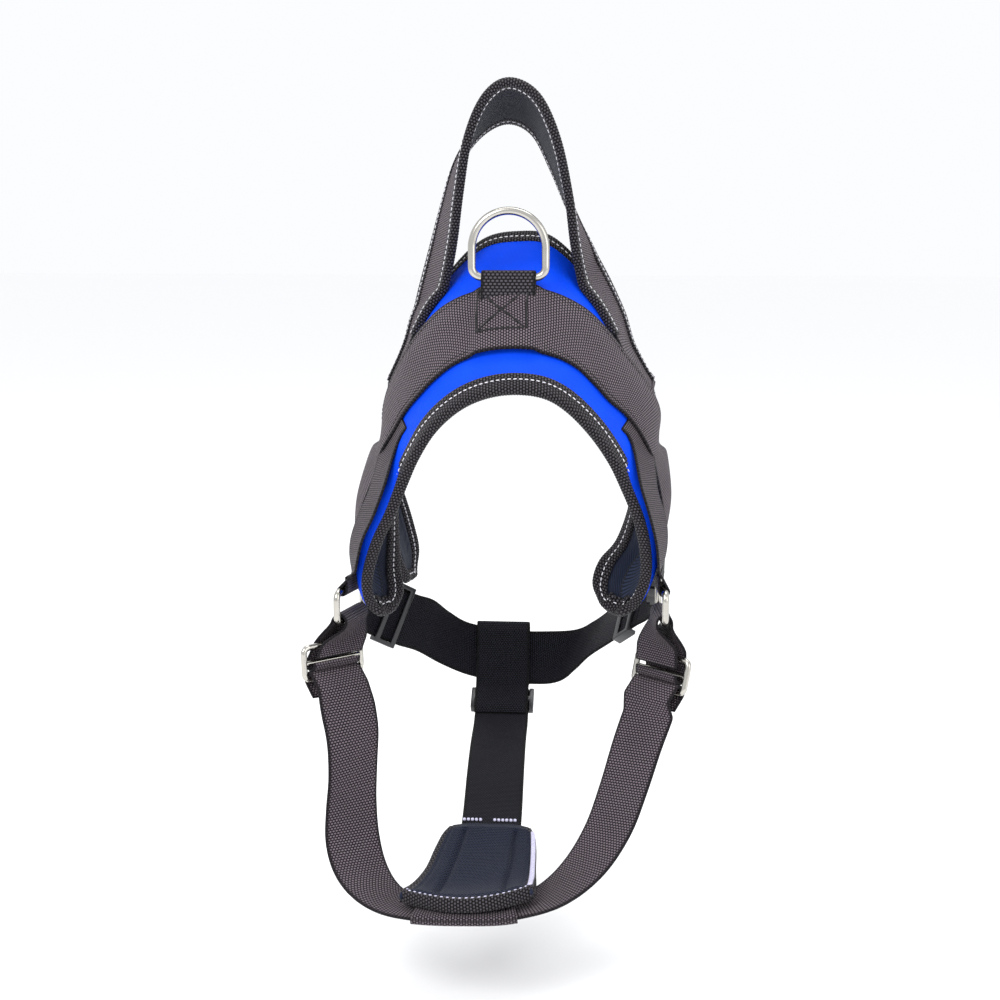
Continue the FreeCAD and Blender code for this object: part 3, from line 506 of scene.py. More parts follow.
# ---- materials ----
class Nodes:
    """Short ways to add shader nodes to one material."""

    def __init__(self, name):
        self.material = bpy.data.materials.new(name)
        self.material.use_nodes = True
        self.tree = self.material.node_tree
        self.tree.nodes.clear()
        self.out = self.tree.nodes.new("ShaderNodeOutputMaterial")
        self.shader = self.tree.nodes.new("ShaderNodeBsdfPrincipled")
        self.link(self.shader.outputs[0], self.out.inputs[0])
        self.uv = self.tree.nodes.new("ShaderNodeUVMap")
        self.uv.uv_map = "UVMap"
        split = self.tree.nodes.new("ShaderNodeSeparateXYZ")
        self.link(self.uv.outputs[0], split.inputs[0])
        self.x = split.outputs[0]
        self.y = split.outputs[1]

    def link(self, a, b):
        self.tree.links.new(a, b)

    def put(self, socket, value):
        if isinstance(value, (int, float, tuple)):
            socket.default_value = value
        else:
            self.link(value, socket)

    def math(self, kind, a, b=0.0, c=0.0):
        node = self.tree.nodes.new("ShaderNodeMath")
        node.operation = kind
        for socket, value in zip(node.inputs, (a, b, c)):
            self.put(socket, value)
        return node.outputs[0]

    def noise(self, scale, detail=3.0, rough=0.55, vector=None):
        node = self.tree.nodes.new("ShaderNodeTexNoise")
        node.inputs["Scale"].default_value = scale
        node.inputs["Detail"].default_value = detail
        node.inputs["Roughness"].default_value = rough
        if vector is None:
            place = self.tree.nodes.new("ShaderNodeTexCoord")
            vector = place.outputs["Object"]
        self.link(vector, node.inputs["Vector"])
        return node.outputs["Fac"]

    def mix(self, factor, a, b):
        node = self.tree.nodes.new("ShaderNodeMix")
        node.data_type = "RGBA"
        self.put(node.inputs[0], factor)
        self.put(node.inputs[6], a)
        self.put(node.inputs[7], b)
        return node.outputs[2]

    def ramp(self, value, lo, hi):
        node = self.tree.nodes.new("ShaderNodeMapRange")
        node.interpolation_type = "SMOOTHSTEP"
        self.put(node.inputs["Value"], value)
        node.inputs["From Min"].default_value = lo
        node.inputs["From Max"].default_value = hi
        return node.outputs[0]

    def bump(self, height, distance):
        node = self.tree.nodes.new("ShaderNodeBump")
        node.inputs["Strength"].default_value = 1.0
        node.inputs["Distance"].default_value = distance
        self.put(node.inputs["Height"], height)
        self.link(node.outputs[0], self.shader.inputs["Normal"])

    def gloss(self, level):
        self.shader.inputs["Specular IOR Level"].default_value = level

    def set(self, **values):
        for key, value in values.items():
            self.put(self.shader.inputs[key.replace("_", " ")], value)


def colour(r, g, b):
    return (r, g, b, 1.0)


def brick_beads(n, across, along):
    """Rounded seeds of yarn in staggered rows: 0 between them, 1 on top."""
    x = n.math("MULTIPLY", n.x, 1.0 / across)
    y = n.math("MULTIPLY", n.y, 1.0 / along)
    row = n.math("FLOOR", y)
    shifted = n.math("MULTIPLY_ADD", row, 0.5, x)
    a = n.math("ABSOLUTE", n.math("SINE", n.math("MULTIPLY", shifted, math.pi)))
    b = n.math("ABSOLUTE", n.math("SINE", n.math("MULTIPLY", y, math.pi)))
    return n.math("POWER", n.math("MULTIPLY", a, b), 0.75)


def webbing_material(name, light, dark, across=0.0023, along=0.0017, rough=0.6, sheen=0.05):
    n = Nodes(name)
    beads = brick_beads(n, across, along)
    fibre = n.noise(2600.0, 2.0, 0.6)
    slow = n.noise(26.0, 3.0, 0.5)
    # painted shade: the colour falls to 7 per cent at each strap's side edges and comes back over the outer
    # 2.4 mm
    edge = n.tree.nodes.new("ShaderNodeAttribute")
    edge.attribute_name = "edge_shade_distance"
    inside = n.math("MULTIPLY_ADD", n.ramp(edge.outputs["Fac"], 0.0002, 0.0024), 0.93, 0.07)
    tone = n.math("MULTIPLY", n.ramp(beads, 0.3, 0.85), n.math("MULTIPLY_ADD", slow, 0.5, 0.75))
    tone = n.math("MULTIPLY", tone, inside)
    tone = n.math("MULTIPLY", tone, n.math("MULTIPLY_ADD", fibre, 0.6, 0.7))
    n.set(Base_Color=n.mix(tone, dark, light))
    n.set(Roughness=rough, Sheen_Weight=sheen, Sheen_Roughness=0.45)
    n.gloss(0.15)
    n.bump(n.math("MULTIPLY_ADD", fibre, 0.10, beads), 0.0007)
    return n.material


def mesh_material(name, light, dark, cell=0.0019):
    n = Nodes(name)
    x = n.math("MULTIPLY", n.x, 1.0 / cell)
    y = n.math("MULTIPLY", n.y, 1.0 / (cell * 0.87))
    row = n.math("FLOOR", y)
    fx = n.math("SUBTRACT", n.math("FRACT", n.math("MULTIPLY_ADD", row, 0.5, x)), 0.5)
    fy = n.math("SUBTRACT", n.math("FRACT", y), 0.5)
    d = n.math("SQRT", n.math("ADD", n.math("MULTIPLY", fx, fx), n.math("MULTIPLY", fy, fy)))
    hole = n.ramp(d, 0.22, 0.40)
    slow = n.noise(40.0, 3.0, 0.5)
    tone = n.math("MULTIPLY", hole, n.math("MULTIPLY_ADD", slow, 0.6, 0.7))
    n.set(Base_Color=n.mix(tone, dark, light), Roughness=0.72, Sheen_Weight=0.1, Sheen_Roughness=0.4)
    n.gloss(0.15)
    n.bump(hole, 0.00045)
    return n.material


def ribbed_material(name, light, dark, pitch=0.0021, slant=0.75):
    n = Nodes(name)
    ribs = n.math("ADD", n.math("MULTIPLY", n.x, 1.0 / pitch), n.math("MULTIPLY", n.y, slant / pitch))
    wave = n.math("ABSOLUTE", n.math("SINE", n.math("MULTIPLY", ribs, math.pi)))
    wave = n.math("POWER", wave, 0.7)
    fibre = n.noise(2200.0, 2.0, 0.6)
    tone = n.math("MULTIPLY", n.ramp(wave, 0.1, 0.95), n.math("MULTIPLY_ADD", fibre, 0.6, 0.7))
    n.set(Base_Color=n.mix(tone, dark, light), Roughness=0.68, Sheen_Weight=0.1, Sheen_Roughness=0.4)
    n.gloss(0.15)
    n.bump(wave, 0.0005)
    return n.material


def shell_material(name, light, dark):
    n = Nodes(name)
    weave = brick_beads(n, 0.0008, 0.0008)
    slow = n.noise(22.0, 4.0, 0.55)
    fine = n.noise(160.0, 3.0, 0.55)
    tone = n.math("MULTIPLY_ADD", weave, 0.35, n.math("MULTIPLY_ADD", slow, 0.5, 0.3))
    n.set(Base_Color=n.mix(n.ramp(tone, 0.2, 1.0), dark, light), Roughness=0.6)
    n.gloss(0.12)
    height = n.math("MULTIPLY_ADD", weave, 0.10, n.math("MULTIPLY_ADD", fine, 0.5, slow))
    n.bump(height, 0.0007)
    return n.material


def tape_material(name, light, dark, pitch=0.0019):
    n = Nodes(name)
    beads = brick_beads(n, 0.0022, pitch)
    fibre = n.noise(2400.0, 2.0, 0.6)
    tone = n.math("MULTIPLY", n.ramp(beads, 0.35, 0.95), n.math("MULTIPLY_ADD", fibre, 0.7, 0.65))
    n.set(Base_Color=n.mix(tone, dark, light), Roughness=0.5, Sheen_Weight=0.1, Sheen_Roughness=0.35)
    n.gloss(0.15)
    n.bump(beads, 0.0007)
    return n.material


def thread_material(name, light, dark, rough=0.45):
    n = Nodes(name)
    twist = n.noise(1800.0, 2.0, 0.6)
    n.set(Base_Color=n.mix(n.ramp(twist, 0.3, 0.7), dark, light), Roughness=rough)
    n.bump(twist, 0.0001)
    return n.material


def plastic_material(name, base, rough):
    n = Nodes(name)
    grain = n.noise(900.0, 3.0, 0.6)
    wear = n.noise(30.0, 4.0, 0.6)
    n.set(Base_Color=n.mix(wear, base, tuple(min(1.0, c * 1.7 + 0.006) for c in base[:3]) + (1.0,)))
    n.set(Roughness=n.math("MULTIPLY_ADD", wear, 0.16, rough))
    n.bump(grain, 0.00004)
    return n.material


def metal_material(name, base, rough):
    n = Nodes(name)
    haze = n.noise(55.0, 5.0, 0.6)
    scratch = n.noise(700.0, 2.0, 0.7)
    n.set(Base_Color=n.mix(haze, base, tuple(c * 0.62 for c in base[:3]) + (1.0,)), Metallic=1.0)
    n.set(Roughness=n.math("MULTIPLY_ADD", haze, 0.14, rough))
    n.bump(scratch, 0.00002)
    return n.material


grey_web = webbing_material("grey_webbing", colour(0.185, 0.148, 0.172), colour(0.003, 0.002, 0.004))
grey_fine = webbing_material(
    "grey_webbing_fine", colour(0.140, 0.113, 0.132), colour(0.003, 0.002, 0.004), 0.0020, 0.0015
)
dark_web = webbing_material(
    "black_webbing", colour(0.012, 0.012, 0.022), colour(0.0004, 0.0004, 0.001), 0.0019, 0.0014, 0.6, 0.02
)
bold_rib = ribbed_material(
    "bold_ribbed", colour(0.022, 0.030, 0.060), colour(0.0004, 0.0006, 0.002), 0.0046, 1.6
)
loop_web = webbing_material(
    "loop_webbing", colour(0.075, 0.066, 0.080), colour(0.0006, 0.0005, 0.001), 0.0028, 0.0021, 0.6, 0.05
)
blue = shell_material("blue_shell", colour(0.0, 0.072, 0.90), colour(0.0, 0.030, 0.55))
navy_mesh = mesh_material("navy_mesh", colour(0.011, 0.016, 0.038), colour(0.0008, 0.001, 0.004))
navy_rib = ribbed_material("navy_ribbed", colour(0.013, 0.019, 0.042), colour(0.0012, 0.002, 0.006))
navy_lining = ribbed_material(
    "navy_lining", colour(0.008, 0.010, 0.022), colour(0.0008, 0.001, 0.003), 0.0016, 0.0
)
tape = tape_material("black_binding", colour(0.075, 0.066, 0.078), colour(0.0006, 0.0005, 0.001))
white_thread = thread_material("white_thread", colour(0.86, 0.85, 0.88), colour(0.55, 0.54, 0.6))
lilac_thread = thread_material("lilac_thread", colour(0.78, 0.76, 0.95), colour(0.45, 0.43, 0.6))
black_thread = thread_material("black_thread", colour(0.006, 0.006, 0.008), colour(0.001, 0.001, 0.002), 0.7)
plastic = plastic_material("black_plastic", colour(0.008, 0.008, 0.01), 0.22)
nickel = metal_material("nickel", colour(0.60, 0.58, 0.53), 0.12)


def settle(obj, body, slot, *nodes):
    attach(obj, body)
    if nodes:
        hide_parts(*nodes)
    return obj


def dress(node, material):
    """Gives a CAD piece that is kept as it is its finished material."""
    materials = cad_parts[node].data.materials
    materials.clear()
    materials.append(material)


def facing_up(normals):
    """A grid of normals, turned over if its middle one points down."""
    middle = normals[normals.shape[0] // 2, normals.shape[1] // 2]
    return normals if middle[2] > 0 else -normals


def puff(obj, first, held, cap):
    """Lets a stuffed piece swell a little: a short cloth run, capped, with every vertex pinned but those
    from first on, which are pinned by the grid of weights held."""
    pins = np.ones(len(obj.data.vertices))
    pins[first:first + held.size] = held.ravel()
    before = np.array([v.co for v in obj.data.vertices])
    group = obj.vertex_groups.new(name="pins")
    for k, w in enumerate(pins):
        group.add([k], float(w), "REPLACE")
    cloth = obj.modifiers.new("cloth", "CLOTH")
    cloth.settings.quality = 6
    cloth.settings.mass = 0.3
    cloth.settings.use_pressure = True
    cloth.settings.uniform_pressure_force = PUFF_PRESSURE
    cloth.settings.vertex_group_mass = "pins"
    cloth.settings.tension_stiffness = 12
    cloth.settings.compression_stiffness = 12
    cloth.settings.bending_stiffness = 0.6
    cloth.settings.effector_weights.gravity = 0.0
    cloth.point_cache.frame_start = 1
    cloth.point_cache.frame_end = PUFF_FRAMES
    scene = bpy.context.scene
    for f in range(1, PUFF_FRAMES + 1):
        scene.frame_set(f)
    shape = obj.evaluated_get(bpy.context.evaluated_depsgraph_get()).to_mesh()
    after = np.array([v.co for v in shape.vertices])
    obj.modifiers.remove(cloth)
    obj.vertex_groups.clear()
    scene.frame_set(1)
    move = after - before
    size = np.linalg.norm(move, axis=1, keepdims=True)
    move = move * np.minimum(1.0, cap * MM / np.maximum(size, 1e-9))
    obj.data.vertices.foreach_set("co", (before + move).astype(np.float32).ravel())
    obj.data.update()


# ---- saddle ----
saddle = Sheet(SADDLE_RIBS, reach=0.9)
LAST_RIB = len(SADDLE_RIBS) - 1.0
us = spread(0.05, LAST_RIB - 0.05, 241)
vs = spread(0.0, 4.0, 49)
mid = saddle.grid(us, vs)
normals = saddle.axes(us, vs)[2]
from_edge = np.stack([
    np.stack([run_length(row), run_length(row)[-1] - run_length(row)]).min(axis=0) for row in mid
])
from_tip = np.minimum(us, LAST_RIB - us)[:, None]
thin = np.minimum(1.0, 0.35 + 0.65 * np.minimum(from_tip, 1.5) / 1.5)
cover_dip = -0.5 * (1 - smoothstep(from_edge / 10.0))
cover = slab("saddle_cover", waver(mid, normals, 0.3, 26.0), normals, cover_dip * thin, -1.5 * thin, blue)
settle(cover, "saddle", "blue_shell", "saddle_shell")
pad_low = -(4.6 + 2.3 * smoothstep((from_edge - 6.0) / 10.0)) * thin
stuffing = slab("saddle_padding", mid, normals, -1.2 * thin, pad_low, navy_rib, bulge=0.2)
free = smoothstep((from_edge - 9.0) / 8.0) * (from_tip > 0.8)
puff(stuffing, free.size, 1 - free, 1.2)
settle(stuffing, "saddle", "navy_mesh", "saddle_foam", "saddle_lining")


def edge_run(sheet, u0, u1, v):
    """Points, outward directions and normals along one edge of a sheet."""
    us = spread(u0, u1, 400)
    along, across, normals = sheet.axes(us, [v])
    way = -1.0 if v == 0.0 else 1.0
    return sheet.grid(us, [v])[:, 0], across[:, 0] * way, normals[:, 0]


def tip_run(u, vs, way):
    """The same along one rib, with the outward direction along the saddle."""
    along, _, normals = saddle.axes([u], vs)
    return saddle.grid([u], vs)[0], along[0] * way, normals[0]


def round_tips(v):
    """The saddle's edge at v, carried round both wing tips to the middle of each tip."""
    way = 1.0 if v == 0.0 else -1.0
    round_tip = spread(2.0, 2.0 - way * 1.7, 12)
    parts = [
        tip_run(0.10, round_tip, -1.0),
        edge_run(saddle, 0.4, LAST_RIB - 0.4, v),
        tip_run(LAST_RIB - 0.10, round_tip[::-1], 1.0),
    ]
    pts, outs, nrm = [np.concatenate(rows) for rows in zip(*parts)]
    pts, outs, nrm = even(pts, 0.8, outs, nrm)
    keep = pts[[0, -1]].copy()
    pts = relax(pts, 14)
    pts[[0, -1]] = keep
    return pts, unit(relax(unit(outs), 30)), unit(nrm)


neck_prof = binding_profile(12.0, 0.1, -4.6)
neck_pts, neck_out, neck_n = round_tips(0.0)
neck = profile_run("neck_edge", neck_pts, neck_out, neck_n, neck_prof, tape, beads=1.9, size=0.34)
settle(neck, "saddle", "black_binding", "neck_binding")
rear_pts, rear_out, rear_n = round_tips(4.0)
rear_prof = binding_profile(9.5, 0.1, -4.6)
rear = profile_run("rear_edge", rear_pts, rear_out, rear_n, rear_prof, tape, beads=1.9, size=0.34)
settle(rear, "saddle", "black_binding", "rear_binding")

# a ribbed patch inside each wing tip
for label, flip in (("left", False), ("right", True)):
    pu = spread(0.95, 3.1, 40)
    pts = []
    nrm = []
    for k, u in enumerate(pu):
        round_off = math.sqrt(max(0.0, 1 - ((k - 19.5) / 20.5) ** 2))
        vv = 2.0 + spread(-1.15, 1.15, 24) * (0.25 + 0.75 * round_off)
        uu = LAST_RIB - u if flip else u
        pts.append(saddle.grid([uu], vv)[0])
        nrm.append(saddle.axes([uu], vv)[2][0])
    pts, nrm = np.array(pts), np.array(nrm)
    depth = -6.4 * np.minimum(1.0, 0.35 + 0.65 * np.minimum(pu, 1.5) / 1.5)[:, None]
    patch = slab("wing_patch_" + label, pts, nrm, depth, depth - 1.3, bold_rib)
    settle(patch, "saddle", "navy_mesh")
    ring = list(pts[:, 0]) + list(pts[-1, 1:]) + list(pts[-2::-1, -1]) + list(pts[0, -2:0:-1])
    ring_n = list(nrm[:, 0]) + list(nrm[-1, 1:]) + list(nrm[-2::-1, -1]) + list(nrm[0, -2:0:-1])
    ring_d = np.concatenate([depth[:, 0], [depth[-1, 0]] * 23, depth[-2::-1, 0], [depth[0, 0]] * 22])
    line = np.array(ring) + np.array(ring_n) * (ring_d - 1.25)[:, None]
    s = stitches("patch_seam_" + label, line, -np.array(ring_n), black_thread, 2.8, 2.2, 0.9, 0.5)
    settle(s, "saddle", "navy_mesh")


def seam(name, points, outs, normals, out, high, thread, way=1.0, slot="black_binding", **kw):
    """A row of stitches set out from an edge line and raised off it."""
    line = points + outs * out + normals * high
    s = stitches(name, line, normals * way, thread, **kw)
    return settle(s, "saddle", slot)


seam("neck_seam_outer", neck_pts, neck_out, neck_n, -6.8, 1.0, white_thread)
seam("neck_seam_inner", neck_pts, neck_out, neck_n, -6.8, -5.5, white_thread, -1.0)
seam("rear_seam_outer", rear_pts, rear_out, rear_n, -4.8, 1.05, white_thread)
seam("rear_seam_inner", rear_pts, rear_out, rear_n, -4.8, -5.55, white_thread, -1.0)

# ---- cross webbing, leash tab ----
free_left, free_right = [
    [through(np.array(row, float), spread(0.0, 2.0, 5)) for row in tail]
    for tail in (CROSS_TAIL_LEFT, CROSS_TAIL_RIGHT)
]
ACROSS = spread(1.0, 3.0, 5)
CROSS_LIFT = 1.6
TAB_X = -1.0


def over_tab(x):
    """How far the cross webbing rises over the leash tab sewn under it."""
    return 2.5 * (1 - smoothstep((np.abs(x - TAB_X) - 17.0) / 7.0))


sewn = list(saddle.at(spread(6.0, 14.0, 17), ACROSS, CROSS_LIFT))
leaving = [saddle.at([u], ACROSS * 0.95 + 0.55, CROSS_LIFT + 0.7)[0] for u in (5.5, 14.5)]
cross = Sheet(np.array(free_left + [leaving[0]] + sewn + [leaving[1]] + free_right))
cross_us = spread(0.0, len(cross.rows) - 1.0, 260)
cross_vs = spread(0.0, 4.0, 25)
cross_mid = cross.grid(cross_us, cross_vs)
cross_n = facing_up(grid_normals(cross_mid))
cross_mid = cross_mid + cross_n * over_tab(cross_mid[..., 0])[..., None]
cross_web = slab("cross_strap", waver(cross_mid, cross_n, 0.3), cross_n, 0.95, -0.95, grey_web)
settle(cross_web, "saddle", "grey_webbing", "cross_webbing")
for label, v in (("front", 0.3), ("rear", 3.7)):
    pts, n = cross.line(spread(4.6, len(cross.rows) - 5.6, 160), [v] * 160, 0.0)
    n = n if n[80, 2] > 0 else -n
    seam(
        "cross_seam_" + label, pts + n * 0.95, n * 0, n, 0.0, 0.0, black_thread, 1.0,
        slot="grey_webbing", pitch=3.0, width=0.6, height=0.3,
    )

bar_up = saddle.axes([10.0], [3.0])[2][0, 0]
bar_back = saddle.axes([10.0], [3.0])[1][0, 0]
TAB_TURN = 4.1
leash_bar = saddle.at([10.0], [3.0])[0, 0] + bar_up * (3.6 + TAB_TURN) + bar_back * 3.0
tab_points = [
    saddle.at([10.0], [v], high)[0, 0]
    for v, high in ((1.5, 0.9), (1.9, 0.9), (2.3, 0.9), (2.7, 1.3), (2.95, 2.6))
]
for angle in (-90, -55, -20, 15, 50, 85, 120):
    a = math.radians(angle)
    tab_points.append(leash_bar + (bar_up * math.sin(a) + bar_back * math.cos(a)) * TAB_TURN)
for v, high in ((2.72, 4.6), (2.5, 2.6), (2.3, 2.3), (1.9, 2.3), (1.5, 2.3)):
    tab_points.append(saddle.at([10.0], [v], high)[0, 0])
tab_stations = [((TAB_X, p[1], p[2]), (1, 0, 0)) for p in tab_points]
tab = webbing("leash_strap", strap_grid(tab_stations, 34.0, 1.2, 17, evened=True), 1.3, loop_web, 0.1)
settle(tab, "saddle", "grey_webbing", "leash_tab")


def box_point(x, f):
    """A point on the cross webbing's face; f runs from its front edge, 0, to its rear edge, 1."""
    column = int(round(f * 24))
    low = cross_mid[:, column]
    k = int(np.argmin(np.abs(low[:, 0] - x) + np.where(low[:, 2] > -60, 0, 500)))
    return low[k] + cross_n[k, column] * 1.3, cross_n[k, column]


def box_seam(label, a, b):
    ends = [box_point(*a), box_point(*b)]
    inner = [box_point(a[0] + (b[0] - a[0]) * f, a[1] + (b[1] - a[1]) * f) for f in spread(0.08, 0.92, 11)]
    rows = [ends[0]] + inner + [ends[1]]
    pts = relax([r[0] for r in rows], 4)
    s = stitches("box_seam_" + label, pts, [r[1] for r in rows], black_thread, 2.6, 2.7, 1.4, 0.6)
    settle(s, "saddle", "grey_webbing")


x0, x1, f0, f1 = -20.0, 11.5, 0.28, 0.95
box_seam("left", (x0, f0), (x0, f1))
box_seam("right", (x1, f0), (x1, f1))
box_seam("rear", (x0, f1), (x1, f1))
box_seam("front", (x0, f0), (x1, f0))
box_seam("cross_a", (x0, f0), (x1, f1))
box_seam("cross_b", (x0, f1), (x1, f0))

# ---- handle ----
def root_row(u, front, rear, front_lift, rear_lift):
    return (saddle.at([u], [front], front_lift)[0, 0], saddle.at([u], [rear], rear_lift)[0, 0])


low_left = [root_row(6.25, 2.75, 3.9, 0.5, 3.0), (saddle.at([6.9], [2.85], 0.7)[0, 0], (-78, 73, -26))]
low_right = [(saddle.at([13.1], [2.85], 0.7)[0, 0], (77, 73, -25)), root_row(13.75, 2.75, 3.9, 0.5, 3.0)]
handle_rows = low_left + HANDLE + low_right
handle = Sheet([[a, tuple((np.array(a) + np.array(b)) / 2), b] for a, b in handle_rows])
LAST_HANDLE = len(handle_rows) - 1.0
hus = spread(0.0, LAST_HANDLE, 280)
hvs = spread(0.0, 2.0, 19)
hmid = handle.grid(hus, hvs)
from_root = np.minimum(hus, LAST_HANDLE - hus)
clear = 0.6 + 2.6 * smoothstep((from_root - 1.1) / 1.0)
skin = mid[::2, ::2].reshape(-1, 3)
skin_n = normals[::2, ::2].reshape(-1, 3)
for k in np.where(from_root < 4.5)[0]:
    gap = hmid[k][:, None] - skin[None]
    near = np.argmin((gap ** 2).sum(axis=-1), axis=1)
    close = gap[np.arange(len(near)), near]
    height = (close * skin_n[near]).sum(axis=1)
    short = np.where(np.linalg.norm(close, axis=1) < 26, np.maximum(0.0, clear[k] - height), 0.0)
    hmid[k] += skin_n[near] * short[:, None]
for _ in range(8):
    hmid[1:-1] = (hmid[:-2] + 2 * hmid[1:-1] + hmid[2:]) / 4
hn = facing_up(grid_normals(hmid))
low_end = smoothstep((from_root[:, None] - 0.6) / 1.8)


def settle_handle(obj, slot, *nodes):
    if nodes:
        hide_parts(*nodes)
    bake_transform(obj)
    return obj


hpuff = 1 - (np.abs(hvs - 1.0)[None, :]) ** 4
handle_web = slab("handle_strap", waver(hmid, hn, 0.25), hn, 1.2 + 0.8 * low_end, -0.2, grey_web)
settle_handle(handle_web, "grey_webbing", "handle_webbing", "handle_root_left", "handle_root_right")
lining = slab("handle_padding", hmid, hn, 0.2, -0.5 - (1.2 + 1.2 * hpuff) * low_end, navy_lining)
free = smoothstep((1 - np.abs(hvs - 1.0)) / 0.4)[None, :] * low_end * 0.9
puff(lining, free.size, 1 - free, 0.8)
settle_handle(lining, "navy_mesh", "handle_lining")
for label, v, node in (("front", 0.0, "handle_front_binding"), ("rear", 2.0, "handle_rear_binding")):
    first = 26 if v == 0.0 else 2
    pts = hmid[first:-first, 0 if v == 0.0 else -1]
    out = unit(pts - hmid[first:-first, 9])
    n = hn[first:-first, 0 if v == 0.0 else -1]
    prof = binding_profile(7.0, 2.0, -1.8, 1.8)
    edge = profile_run("handle_edge_" + label, pts, out, n, prof, tape, 1.9, 0.3)
    settle_handle(edge, "black_binding", node)
    for side, high, way in (("outer", 2.9, 1.0), ("inner", -2.7, -1.0)):
        s = stitches("handle_seam_%s_%s" % (label, side), pts - out * 3.6 + n * high, n * way, white_thread)
        settle_handle(s, "black_binding")


for label, u in (("left", 0.12), ("right", LAST_HANDLE - 0.12)):
    k = int(round(u / LAST_HANDLE * (len(hus) - 1)))
    row = hmid[k, 5:] + hn[k, 5:] * 1.35
    s = stitches("handle_root_seam_" + label, row, hn[k, 5:], black_thread, 2.6, 2.2, 0.9, 0.5)
    settle(s, "saddle", "black_binding")


# ---- straps ----
def bar_path(centre, bar, leg, length, turn):
    """Round a bar: stations down one leg, round the bar and down the other leg."""
    centre = np.array(centre, float)
    leg = unit(leg - bar * np.dot(leg, bar))
    face = np.cross(bar, leg)
    pts = [centre + face * turn + leg * length]
    for angle in range(0, 181, 20):
        a = math.radians(angle)
        pts.append(centre + face * (turn * math.cos(a)) - leg * (turn * math.sin(a)))
    pts.append(centre - face * turn + leg * length)
    return pts


def side_frame(side):
    ring_bar = unit(side["ring_bar"])
    low_bar = unit(side["adjuster_bar"])
    ring_low = np.array(side["ring"], float) - [0, 0, RING_HALF_HEIGHT]
    low = np.array(side["adjuster"], float)
    rise = ring_low - low
    rise = unit(rise - low_bar * np.dot(rise, low_bar))
    return ring_bar, low_bar, ring_low, low, rise


